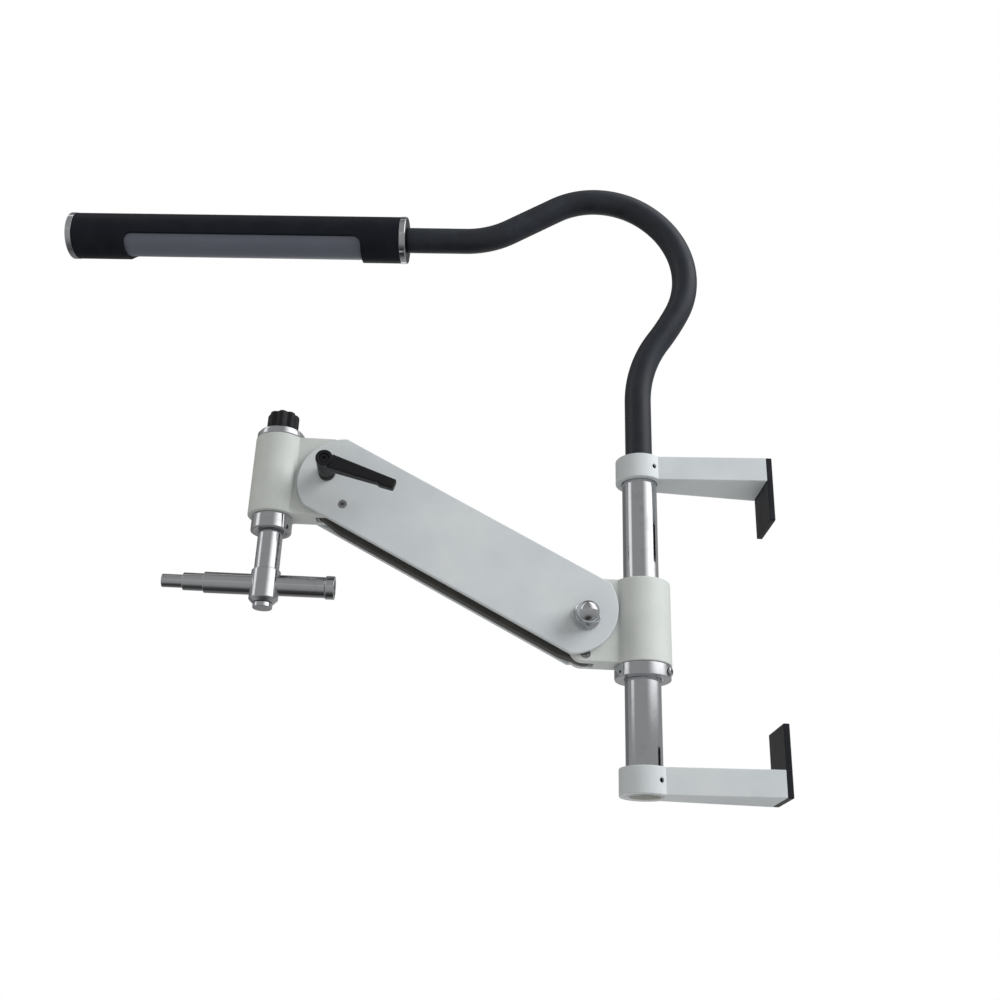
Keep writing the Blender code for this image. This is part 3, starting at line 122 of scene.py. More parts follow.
class Signal:
    """A shader socket in an expression: its operators add Math nodes."""

    def __init__(self, graph: "Graph", socket: bpy.types.NodeSocket) -> None:
        """Keep the socket and the graph that it belongs to."""
        self.graph = graph
        self.socket = socket

    def output(self, name: str) -> "Signal":
        """Another output of the same node."""
        return Signal(self.graph, self.socket.node.outputs[name])

    def math(self, operation: str, first: "Value", second: "Value") -> "Signal":
        """One Math node on two values."""
        return self.graph.add("ShaderNodeMath", {"operation": operation}, {0: first, 1: second})

    def __add__(self, other: "Value") -> "Signal":
        """This plus another."""
        return self.math("ADD", self, other)

    def __radd__(self, other: "Value") -> "Signal":
        """Another plus this."""
        return self.math("ADD", other, self)

    def __sub__(self, other: "Value") -> "Signal":
        """This minus another."""
        return self.math("SUBTRACT", self, other)

    def __rsub__(self, other: "Value") -> "Signal":
        """Another minus this."""
        return self.math("SUBTRACT", other, self)

    def __mul__(self, other: "Value") -> "Signal":
        """This times another."""
        return self.math("MULTIPLY", self, other)

    def __rmul__(self, other: "Value") -> "Signal":
        """Another times this."""
        return self.math("MULTIPLY", other, self)

    def most(self, other: "Value") -> "Signal":
        """The greater of this and another."""
        return self.math("MAXIMUM", self, other)

    def above(self, start: float, stop: float) -> "Signal":
        """A smooth rise from 0 at start to 1 at stop."""
        inputs = {"Value": self, "From Min": start, "From Max": stop}
        return self.graph.add("ShaderNodeMapRange", {"interpolation_type": "SMOOTHSTEP"}, inputs)

    def within(self, start: float, full: float, fading: float, stop: float) -> "Signal":
        """A smooth rise from 0 at start to 1 at full, and back again from fading to stop."""
        return self.above(start, full) * (1 - self.above(fading, stop))


Value = Signal | float | Sequence[float]


class Graph:
    """The nodes of one material or world, made from expressions."""

    def __init__(self, tree: bpy.types.NodeTree) -> None:
        """Start from an empty tree."""
        self.tree = tree
        tree.nodes.clear()

    def add(
        self,
        kind: str,
        settings: dict[str, object] | None = None,
        inputs: dict[int | str, Value] | None = None,
        output: int | str = 0,
    ) -> Signal | None:
        """Add any node.

        Args:
            kind: The node's type.
            settings: Its own settings, set first; "stops" holds a ramp's places and greys.
            inputs: A value or a signal for each socket that isn't left as it is.
            output: The output wanted.

        Returns:
            That output, or nothing of a node without any.
        """
        node = self.tree.nodes.new(kind)
        for key, value in (settings or {}).items():
            if key == "stops":
                self.set_stops(node.color_ramp, value)
            else:
                setattr(node, key, value)
        for key, value in (inputs or {}).items():
            if isinstance(value, Signal):
                self.tree.links.new(value.socket, node.inputs[key])
            else:
                node.inputs[key].default_value = value
        return Signal(self, node.outputs[output]) if len(node.outputs) else None

    @staticmethod
    def set_stops(ramp: bpy.types.ColorRamp, stops: Sequence[Point]) -> None:
        """Set a grey ramp's stops.

        Args:
            ramp: The ramp, which has two stops when it is new.
            stops: Place and grey of each stop, in rising order.
        """
        while len(ramp.elements) < len(stops):
            ramp.elements.new(1.0)
        for element, (place, grey) in zip(ramp.elements, stops):
            element.position = place
            element.color = (grey, grey, grey, 1)

    def vector(self, operation: str, *values: Value, output: str = "Vector") -> Signal:
        """One Vector Math node."""
        inputs = dict(enumerate(values))
        return self.add("ShaderNodeVectorMath", {"operation": operation}, inputs, output)

    def mix(self, share: Value, first: Value, second: Value) -> Signal:
        """Two colours mixed, with this share of the second."""
        first, second = (v if isinstance(v, Signal) else (*v, 1) for v in (first, second))
        return self.add("ShaderNodeMix", {"data_type": "RGBA"}, {0: share, 6: first, 7: second}, 2)


# ---------------------------------------------------------------------------------------------
# Finishes


@dataclass(frozen=True)
class Pattern:
    """Soft noise over a surface."""

    size: float  # length of one swell, in metres
    detail: float = 2  # octaves of finer noise on it
    warp: float = 0
    band: Point | None = None  # noise values between which it rises from 0 to 1
    scale: Colour | None = None  # of the place, where the noise is drawn out

    @property
    def middle(self) -> float:
        """The value that leaves the roughness as it is."""
        return 0.0 if self.band else 0.5

    def on(self, graph: Graph, place: Signal) -> Signal:
        """The pattern's value.

        Args:
            graph: The material's nodes.
            place: Where on the surface.

        Returns:
            A value between 0 and 1.
        """
        if self.scale:
            place = graph.add("ShaderNodeMapping", {}, {"Vector": place, "Scale": self.scale})
        inputs = {"Vector": place, "Scale": 1 / self.size}
        inputs |= {"Detail": self.detail, "Distortion": self.warp}
        noise = graph.add("ShaderNodeTexNoise", {}, inputs)
        return noise.above(*self.band) if self.band else noise


@dataclass(frozen=True)
class Finish:
    """A finish of the stand: a tint between two colours, a relief, and wear in the gloss."""

    name: str
    slot: Slot
    colour: Colour
    shade: Colour
    roughness: float
    shine: float = 0.5
    tint: Pattern = Pattern(0.03)
    tint_sway: float = 0.0  # how far the tint's pattern sways the roughness
    relief: Pattern = Pattern(0.001)
    relief_sway: float = 0.0
    depth: float = 0.00001  # of the relief
    wear: Pattern = Pattern(0.01)
    wear_sway: float = 0.0
    metallic: float = 0.0
    coat: float = 0.0
    coat_roughness: float = 0.18

    def material(self) -> bpy.types.Material:
        """Make the finish's material.

        Returns:
            The material, with its nodes.
        """
        made = bpy.data.materials.new(self.name)
        made.use_nodes = True
        graph = Graph(made.node_tree)
        place = graph.add("ShaderNodeTexCoord", {}, {}, "Object")
        shader = graph.add("ShaderNodeBsdfPrincipled", {}, self.inputs(graph, place))
        graph.add("ShaderNodeOutputMaterial", {}, {"Surface": shader})
        return made

    def inputs(self, graph: Graph, place: Signal) -> dict[str, Value]:
        """The shader's inputs.

        Args:
            graph: The material's nodes.
            place: The surface's place in the piece's own axes.

        Returns:
            A value or a signal for each.
        """
        sways = [(self.tint, self.tint_sway), (self.relief, self.relief_sway)]
        sways += [(self.wear, self.wear_sway)] if self.wear_sway else []
        made = {pattern: pattern.on(graph, place) for pattern, _ in sways}
        steps = [(made[pattern] - pattern.middle) * sway for pattern, sway in sways if sway]
        bump = {"Strength": 1.0, "Distance": self.depth, "Height": made[self.relief]}
        return {
            "Base Color": graph.mix(made[self.tint], self.colour, self.shade),
            "Metallic": self.metallic,
            "Roughness": sum(steps, self.roughness),
            "Specular IOR Level": self.shine,
            "Coat Weight": self.coat,
            "Coat Roughness": self.coat_roughness,
            "Normal": graph.add("ShaderNodeBump", {}, bump),
        }


@dataclass(frozen=True)
class PowderCoat(Finish):
    """Sprayed and baked powder: a fine orange peel, a faint drift of tint and a few specks."""

    tint: Pattern = Pattern(0.055, 3, band=(0.32, 0.68))
    relief: Pattern = Pattern(0.0011)
    relief_sway: float = 0.16
    depth: float = 0.00004
    wear: Pattern = Pattern(0.012, 5, 0.6)
    wear_sway: float = 0.12
    specks: Pattern = Pattern(0.0017, 1, band=(0.735, 0.775))
    speck_colour: Colour = (0.33, 0.32, 0.28)
    speck_share: float = 0.3

    def inputs(self, graph: Graph, place: Signal) -> dict[str, Value]:
        """The shader's inputs, with specks over the tint.

        Args:
            graph: The material's nodes.
            place: The surface's place in the piece's own axes.

        Returns:
            A value or a signal for each.
        """
        made = super().inputs(graph, place)
        specks = self.specks.on(graph, place) * self.speck_share
        return made | {"Base Color": graph.mix(specks, made["Base Color"], self.speck_colour)}


@dataclass(frozen=True)
class SatinPaint(Finish):
    """Black enamel: nearly even, with dusty swells and fine grain."""

    tint: Pattern = Pattern(0.02, 4, 0.4, (0.35, 0.75))
    relief: Pattern = Pattern(0.0006)
    relief_sway: float = 0.1
    depth: float = 0.000015
    wear: Pattern = Pattern(0.02, 4, 0.4)
    wear_sway: float = 0.2


@dataclass(frozen=True)
class MouldedPlastic(Finish):
    """Glass-filled nylon: a spark-eroded texture with rubbed, glossier swells."""

    tint: Pattern = Pattern(0.00045, 3)
    relief: Pattern = Pattern(0.00045, 3)
    relief_sway: float = 0.14
    depth: float = 0.00004
    wear: Pattern = Pattern(0.009, 3, 0.5, (0.4, 0.7))
    wear_sway: float = -0.12


@dataclass(frozen=True)
class Rubber(Finish):
    """Extruded rubber: matt, with a grey bloom in patches and a fine leathery grain."""

    tint: Pattern = Pattern(0.03, 4, 0.8, (0.38, 0.72))
    tint_sway: float = 0.1
    relief: Pattern = Pattern(0.0009, 3)
    relief_sway: float = 0.12
    depth: float = 0.00005


@dataclass(frozen=True)
class PlatedMetal(Finish):
    """Bright plating over turned metal: a faint ripple, and smudges where it is handled."""

    tint: Pattern = Pattern(0.011, 5, 0.9, (0.48, 0.78))
    tint_sway: float = 0.10
    relief: Pattern = Pattern(0.006, 1)
    wear: Pattern = Pattern(0.0012, 4)
    wear_sway: float = 0.03
    metallic: float = 1.0


@dataclass(frozen=True)
class PlatedTube(PlatedMetal):
    """Plating on an upright tube whose bore is left dull."""

    axis: Colour = (-0.1385, 0.0, 0.0)
    bore: float = 0.0162
    fade: float = 0.0003
    bare_colour: Colour = (0.62, 0.62, 0.58)
    bare_roughness: float = 0.6

    def inputs(self, graph: Graph, place: Signal) -> dict[str, Value]:
        """The shader's inputs: plating outside the bore, dull metal within it.

        Args:
            graph: The material's nodes.
            place: The surface's place in the piece's own axes.

        Returns:
            A value or a signal for each.
        """
        flat = graph.vector("MULTIPLY", graph.vector("SUBTRACT", place, self.axis), (1.0, 1.0, 0.0))
        radius = graph.vector("LENGTH", flat, output="Value")
        plated = radius.above(self.bore, self.bore + self.fade)
        made = super().inputs(graph, place)
        return made | {
            "Base Color": graph.mix(plated, self.bare_colour, made["Base Color"]),
            "Metallic": plated,
            "Roughness": made["Roughness"] + (1 - plated) * self.bare_roughness,
        }


@dataclass(frozen=True)
class TurnedMetal(Finish):
    """Bare turned metal: a fine tool grain and dull, darker patches."""

    tint: Pattern = Pattern(0.004, 4, 0, (0.42, 0.7))
    tint_sway: float = 0.12
    relief: Pattern = Pattern(0.0003, 2, 1.5)
    relief_sway: float = 0.16
    depth: float = 0.000012
    metallic: float = 1.0


@dataclass(frozen=True)
class FrostedPlastic(Finish):
    """Frosted acrylic: a silky haze with drawing lines along its length."""

    tint: Pattern = Pattern(0.04, 3)
    tint_sway: float = 0.1
    relief: Pattern = Pattern(0.0012, scale=(0.02, 1.0, 1.0))
    relief_sway: float = 0.08
    coat: float = 0.25


WHITE = PowderCoat(
    "white_powder_coat", Slot.WHITE_PAINT, (0.64, 0.67, 0.68), (0.585, 0.622, 0.64), 0.36
)
CAST_WHITE = PowderCoat(
    "white_cast_coat", Slot.WHITE_PAINT, (0.63, 0.655, 0.635), (0.57, 0.60, 0.575), 0.36
)
PLATE_BLACK = SatinPaint(
    "black_enamel", Slot.BLACK_PAINT, (0.006, 0.0065, 0.0110), (0.012, 0.0125, 0.0190), 0.42, 0.35
)
SHELL_COLOURS = (0.0082, 0.0099, 0.0152), (0.0112, 0.0134, 0.0192)
SHELL_BLACK = SatinPaint("black_shell_lacquer", Slot.BLACK_SHELL, *SHELL_COLOURS, 0.48, 0.15)
# Painted light: the link's black enamel is lifted to a dark grey so that its face, in shade between
# the arm plates, renders lighter.
LINK_BLACK = SatinPaint(
    "link_enamel_painted_fill_light", Slot.BLACK_PAINT, (0.058, 0.058, 0.052), (0.080, 0.079, 0.070), 0.50, 0.35
)
PLASTIC = MouldedPlastic(
    "black_nylon", Slot.BLACK_PLASTIC, (0.0060, 0.0060, 0.0075), (0.012, 0.012, 0.0135), 0.44, 0.3
)
RUBBER_COLOURS = (0.0055, 0.0082, 0.0140), (0.0105, 0.0145, 0.0225)
RUBBER = Rubber("black_rubber_sleeve", Slot.BLACK_RUBBER, *RUBBER_COLOURS, 0.42, 0.6)
CHROME_COLOURS = (0.62, 0.63, 0.65), (0.55, 0.56, 0.58)
CHROME = PlatedMetal("bright_chrome", Slot.CHROME, *CHROME_COLOURS, 0.075)
POST_CHROME = PlatedTube("chromed_tube", Slot.CHROME, *CHROME_COLOURS, 0.075)
STEEL = TurnedMetal("zinc_plated_steel", Slot.STEEL, (0.46, 0.46, 0.47), (0.30, 0.30, 0.31), 0.26)
BLACKENED = TurnedMetal(
    "blackened_steel", Slot.STEEL, (0.035, 0.035, 0.040), (0.020, 0.020, 0.024), 0.42
)
BRONZE = TurnedMetal(
    "sintered_bronze",
    Slot.BRONZE,
    (0.40, 0.26, 0.11),
    (0.24, 0.15, 0.07),
    0.38,
    relief=Pattern(0.0008, 2, 1.5),
    depth=0.00003,
)
# Painted shade: the milky diffuser is given a dark grey colour that stands for its unlit inside, seen
# through it.
FROSTED = FrostedPlastic(
    "frosted_acrylic_painted_dark_inside", Slot.FROSTED, (0.115, 0.125, 0.160), (0.130, 0.142, 0.180), 0.40
)
WHITE_PLASTIC = MouldedPlastic(
    "white_moulding", Slot.WHITE_PLASTIC, (0.74, 0.74, 0.72), (0.68, 0.68, 0.66), 0.45
)
GLASS = FrostedPlastic("coated_glass", Slot.GLASS, (0.80, 0.82, 0.82), (0.74, 0.77, 0.78), 0.22)
FLOOR_GRAIN = Pattern(0.02, 3)
PALE_FLOOR = MouldedPlastic(
    "pale_floor",
    Slot.WHITE_PLASTIC,
    (0.80, 0.80, 0.80),
    (0.78, 0.78, 0.78),
    0.8,
    0.2,
    tint=FLOOR_GRAIN,
    relief=FLOOR_GRAIN,
    depth=0.0,
)


# ---------------------------------------------------------------------------------------------
# Outlines and meshes


def shift(x: float = 0, y: float = 0, z: float = 0) -> Matrix:
    """A move along the axes."""
    return Matrix.Translation((x, y, z))


def arc(centre: Point, radius: float, start: float, stop: float, count: int) -> list[Point]:
    """Points of an arc between two angles, both ends among them."""
    angles = [start + (stop - start) * index / (count - 1) for index in range(count)]
    return [(centre[0] + radius * math.cos(a), centre[1] + radius * math.sin(a)) for a in angles]


def circle(radius: float, count: int = ROUND, x: float = 0) -> list[Point]:
    """Points once round a circle whose middle is at this x."""
    return arc((x, 0), radius, 0, 2 * math.pi * (count - 1) / count, count)


def raised(points: Sequence[Point], height: float) -> list[Vector]:
    """An outline at a height."""
    return [Vector((x, y, height)) for x, y in points]


def turned(profile: Sequence[Point], count: int) -> list[list[Vector]]:
    """A profile's loops about Z, each a single point where the profile meets the axis."""
    loops = [circle(radius, count) if radius > AXIS_RADIUS else [(0, 0)] for radius, _ in profile]
    return [raised(loop, height) for loop, (_, height) in zip(loops, profile)]


def eased(radius: float, steps: int) -> list[Point]:
    """Inset and rise of each step round a convex edge, from its foot to its full width."""
    turns = [QUARTER * step / steps for step in range(steps + 1)]
    return [(radius * (1 - math.sin(turn)), radius * (1 - math.cos(turn))) for turn in turns]


def soften(points: Sequence[Point], radius: float, closed: bool, count: int = 5) -> list[Point]:
    """Round an outline's or a profile's corners.

    Args:
        points: The corners.
        radius: How far each corner is cut back along its sides.
        closed: Whether the last point joins the first.
        count: Points of each round corner.

    Returns:
        The rounded outline.
    """
    result: list[Point] = []
    for index, point in enumerate(points):
        if not closed and index in (0, len(points) - 1):
            result.append(point)
            continue
        corner = Vector(point)
        before = Vector(points[index - 1]) - corner
        after = Vector(points[(index + 1) % len(points)]) - corner
        back = min(radius, CORNER_SHARE * before.length, CORNER_SHARE * after.length)
        start = corner + before.normalized() * back
        stop = corner + after.normalized() * back
        for step in range(count):
            share = step / (count - 1)
            towards = start.lerp(corner, share)
            result.append(tuple(towards.lerp(corner.lerp(stop, share), share)))
    return result


def rectangle(half_width: float, half_height: float, corner: float) -> list[Point]:
    """A rectangle about its middle with round corners."""
    ways = ((1, -1), (1, 1), (-1, 1), (-1, -1))
    return soften([(half_width * x, half_height * y) for x, y in ways], corner, True)


def stepped(*sections: tuple[float, ...]) -> list[Point]:
    """A profile's points from its sections, each a radius and the heights where it holds."""
    return [(radius, height) for radius, *heights in sections for height in heights]


def tube(outer: float, inner: float, low: float, high: float) -> list[Point]:
    """A tube's closed section."""
    return [(inner, high), (outer, high), (outer, low), (inner, low)]


def disc(radius: float, low: float, high: float) -> list[Point]:
    """A solid disc's section, from axis to axis."""
    return [(0, high), (radius, high), (radius, low), (0, low)]


def outwards(azimuth: float, distance: float, height: float) -> Matrix:
    """The place of something on an upright cylinder, with its own Z outwards."""
    return Matrix.Rotation(azimuth, 4, "Z") @ shift(distance, 0, height) @ RIGHT


def inset_loop(loop: Sequence[Point], distance: float) -> list[Point]:
    """Move an outline towards its left side, which is inwards where it runs anticlockwise.

    Args:
        loop: The outline.
        distance: How far.

    Returns:
        The moved outline, point for point.
    """
    moved: list[Point] = []
    for index, point in enumerate(loop):
        here = Vector(point)
        arriving = (here - Vector(loop[index - 1])).normalized()
        leaving = (Vector(loop[(index + 1) % len(loop)]) - here).normalized()
        first = Vector((-arriving.y, arriving.x))
        second = Vector((-leaving.y, leaving.x))
        shared = (first + second) / max(SHARPEST, 1 + first.dot(second))
        moved.append(tuple(here + shared * distance))
    return moved


def signed_area(loop: Sequence[Point]) -> float:
    """Twice an outline's area, positive where it runs anticlockwise."""
    return sum(a[0] * b[1] - b[0] * a[1] for a, b in zip(loop, [*loop[1:], loop[0]]))


class Form:
    """A mesh in the making, in the axes of its own sub-assembly."""

    def __init__(self, mesh: bpy.types.Mesh | None = None) -> None:
        """Start with nothing, or with a mesh.

        Args:
            mesh: The mesh, which is used up.
        """
        self.shape = bmesh.new()
        if mesh:
            self.take(mesh)

    def take(self, mesh: bpy.types.Mesh) -> "Form":
        """Take in a mesh.

        Args:
            mesh: The mesh, which is used up.

        Returns:
            This form.
        """
        self.shape.from_mesh(mesh)
        bpy.data.meshes.remove(mesh)
        return self

    def with_form(self, other: "Form", place: Matrix = UPRIGHT) -> "Form":
        """Take in another form, which is used up, as it lies in this one."""
        return self.take(other.mesh(place))

    def skin(
        self, loops: Sequence[Sequence[Vector]], wrap: bool = False
    ) -> list[list[bmesh.types.BMVert]]:
        """Join loops of points with faces.

        Args:
            loops: Loops of as many points each, or of a single point where the skin closes.
            wrap: Whether the last loop joins the first.

        Returns:
            The vertices of each loop.
        """
        made = [[self.shape.verts.new(point) for point in loop] for loop in loops]
        pairs = list(zip(made, made[1:]))
        if wrap:
            pairs.append((made[-1], made[0]))
        for low, high in pairs:
            count = max(len(low), len(high))
            for index in range(count):
                after = (index + 1) % count
                around = [(low, index), (low, after), (high, after), (high, index)]
                corners = dict.fromkeys(loop[place % len(loop)] for loop, place in around)
                if len(corners) > 2:
                    self.shape.faces.new(list(corners))
        return made

    def cap(self, *rims: Sequence[bmesh.types.BMVert]) -> None:
        """Fill a flat opening.

        Args:
            rims: Its rim first, then the rims of the holes that stay in it.
        """
        flat = [vertex for rim in rims for vertex in rim]
        for corners in tessellate_polygon([[vertex.co for vertex in rim] for rim in rims]):
            self.shape.faces.new([flat[corner] for corner in corners])

    def lathe(self, profile: Sequence[Point], ring: bool = False, count: int = ROUND) -> "Form":
        """Turn a profile of radius and height about Z; a ring's profile closes on itself."""
        self.skin(turned(profile, count), ring)
        return self

    def slab(
        self, loops: Sequence[Sequence[Point]], low: float, high: float, rounding: float
    ) -> "Form":
        """A plate with round edges between two heights.

        Args:
            loops: The outline, then its holes.
            low: The lower height.
            high: The upper height.
            rounding: The edges' radius.

        Returns:
            This form.
        """
        edge = eased(rounding, EDGE_STEPS) if rounding else [(0.0, 0.0)]
        lower = [(inset, low + rise) for inset, rise in edge]
        upper = [(inset, high + low - height) for inset, height in reversed(lower)]
        rims = []
        for number, loop in enumerate(loops):
            outside = number == 0
            facing = loop if (signed_area(loop) > 0) == outside else loop[::-1]
            levels = [raised(inset_loop(facing, inset), height) for inset, height in lower + upper]
            rims.append(self.skin(levels))
        self.cap(*(rim[0] for rim in rims))
        self.cap(*(rim[-1] for rim in rims))
        return self

    def socketed(self, profile: Sequence[Point], socket: float, depth: float) -> "Form":
        """A turned screw with a hexagon socket in the flat face that its profile starts at.

        Args:
            profile: Points from the rim of that face down to the axis.
            socket: The hexagon's radius.
            depth: The hexagon's depth.

        Returns:
            This form.
        """
        rim = self.skin(turned(profile, SMALL_ROUND))[0]
        face = profile[0][1]
        walls = [raised(circle(socket, HEXAGON), height) for height in (face, face - depth)]
        opening, bottom = self.skin(walls)
        self.cap(rim, opening)
        self.cap(bottom)
        return self

    def mesh(self, place: Matrix) -> bpy.types.Mesh:
        """End the form as a mesh.

        Args:
            place: Where the form lies.

        Returns:
            The mesh, in the axes of that place's parent.
        """
        bmesh.ops.recalc_face_normals(self.shape, faces=self.shape.faces)
        mesh = bpy.data.meshes.new("mesh")
        self.shape.to_mesh(mesh)
        self.shape.free()
        mesh.transform(place)
        return mesh


def cutter(
    radius: float, low: float, high: float, place: Matrix, count: int = SMALL_ROUND
) -> bpy.types.Mesh:
    """A plain round cutter about its place's Z."""
    return Form().lathe(disc(radius, low, high), count=count).mesh(place)


def carve(solid: bpy.types.Mesh, *tools: bpy.types.Mesh) -> bpy.types.Mesh:
    """Cut tools out of a solid with exact Booleans.

    Args:
        solid: The mesh to cut, which is used up.
        tools: What to cut out of it, which are used up too.

    Returns:
        The cut mesh.
    """
    helpers = [bpy.data.objects.new("helper", mesh) for mesh in (solid, *tools)]
    for helper in helpers:
        bpy.context.scene.collection.objects.link(helper)
    body = helpers[0]
    for tool in helpers[1:]:
        boolean = body.modifiers.new("cut", "BOOLEAN")
        boolean.solver = "EXACT"
        boolean.object = tool
    evaluated = body.evaluated_get(bpy.context.evaluated_depsgraph_get())
    result = bpy.data.meshes.new_from_object(evaluated)
    for helper in helpers:
        used = helper.data
        bpy.data.objects.remove(helper)
        bpy.data.meshes.remove(used)
    return result


class Bench:
    """Puts pieces on the stand: their objects, their finishes and the bodies that they ride on."""

    def __init__(self) -> None:
        """Start with no material made."""
        self.materials: dict[str, bpy.types.Material] = {}

    def material(self, finish: Finish) -> bpy.types.Material:
        """The finish's material, made once.

        Args:
            finish: The finish.

        Returns:
            Its material.
        """
        if finish.name not in self.materials:
            self.materials[finish.name] = finish.material()
        return self.materials[finish.name]

    def make(self, name: str, mesh: bpy.types.Mesh, finish: Finish) -> bpy.types.Object:
        """An object with its finish and smooth shading, not yet on a body.

        Args:
            name: The piece's name.
            mesh: Its mesh, in the model's frame.
            finish: Its finish.

        Returns:
            The object.
        """
        mesh.name = name
        mesh.materials.clear()
        mesh.materials.append(self.material(finish))
        mesh.shade_smooth()
        mesh.set_sharp_from_angle(angle=SMOOTH_ANGLE)
        piece = bpy.data.objects.new(name, mesh)
        bpy.context.scene.collection.objects.link(piece)
        piece.modifiers.new("even_faces", "WEIGHTED_NORMAL").keep_sharp = True
        return piece

    def fit(self, node: str, mesh: bpy.types.Mesh, finish: Finish) -> None:
        """A finer piece in the place of a CAD node, on that node's body.

        Args:
            node: The node.
            mesh: The piece's mesh, in the model's frame.
            finish: Its finish.
        """
        piece = self.make(f"{node}_piece", mesh, finish)
        body = frame["nodes"][node]["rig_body"]
        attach(piece, body)
        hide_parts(node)
        LOG.info("%s: %s faces, rides on %s", piece.name, len(mesh.polygons), body)

    def repaint(self, finish: Finish, *nodes: str) -> None:
        """Give CAD nodes that keep their shape a finish.

        Args:
            finish: The finish.
            nodes: The nodes.
        """
        for node in nodes:
            for place in frame["nodes"][node].material_slots:
                place.material = self.material(finish)
            LOG.info("%s: keeps its shape, in %s", node, finish.name)


# ---------------------------------------------------------------------------------------------
# Sub-assemblies


@dataclass(frozen=True)
class Layout:
    """Where each sub-assembly lies at rest."""

    post_x: float = -0.1385
    post_foot: float = -0.036
    pivot_height: float = 0.173
    pivot_reach: float = 0.0599
    arm_length: float = 0.308
    arm_tilt: float = math.radians(27.8)
    link_drop: float = 0.036
    head_reach: float = 0.0547
    half_block: float = 0.044
    rod_drop: float = 0.0736
    rod_behind: float = 0.002

    @property
    def post(self) -> Matrix:
        """The post's foot, on its axis."""
        return shift(self.post_x, 0, self.post_foot)

    @property
    def swing(self) -> Matrix:
        """The middle of the swing block, on the post's axis."""
        return self.post @ shift(z=self.pivot_height)

    @property
    def arm(self) -> Matrix:
        """The arm's rear pivot, with -X along the arm."""
        return self.swing @ shift(-self.pivot_reach) @ Matrix.Rotation(self.arm_tilt, 4, "Y")

    @property
    def link(self) -> Matrix:
        """The link's rear pin, with -X along the link."""
        pin = self.swing @ shift(-self.pivot_reach, 0, -self.link_drop)
        return pin @ Matrix.Rotation(self.arm_tilt, 4, "Y")

    @property
    def level(self) -> Matrix:
        """The arm's front pivot, upright."""
        across = -self.pivot_reach - self.arm_length * math.cos(self.arm_tilt)
        return self.swing @ shift(across, 0, self.arm_length * math.sin(self.arm_tilt))

    @property
    def head(self) -> Matrix:
        """The middle of the head block, on the spindle's axis."""
        return self.level @ shift(-self.head_reach)

    @property
    def rod(self) -> Matrix:
        """The middle of the rod's sleeve, with its tip towards +Z."""
        return self.head @ shift(0, self.rod_behind, -self.half_block - self.rod_drop) @ LEFT


@dataclass
class Assembly:
    """A sub-assembly: the bench that its pieces are made on, and where they lie."""

    bench: Bench
    layout: Layout

    def turn(
        self,
        node: str,
        place: Matrix,
        finish: Finish,
        profile: Sequence[Point],
        edge: float = 0.0,
        ring: bool = False,
        count: int = ROUND,
        corner_points: int = 5,
    ) -> None:
        """Fit a turned piece whose profile's corners are cut back by an edge, if there is one."""
        outline = soften(profile, edge, ring, corner_points) if edge else profile
        self.bench.fit(node, Form().lathe(outline, ring, count).mesh(place), finish)

    def screw(
        self, node: str, place: Matrix, finish: Finish, profile: Sequence[Point], socket: Point
    ) -> None:
        """Fit a turned screw with a hexagon socket of this radius and depth."""
        self.bench.fit(node, Form().socketed(profile, *socket).mesh(place), finish)


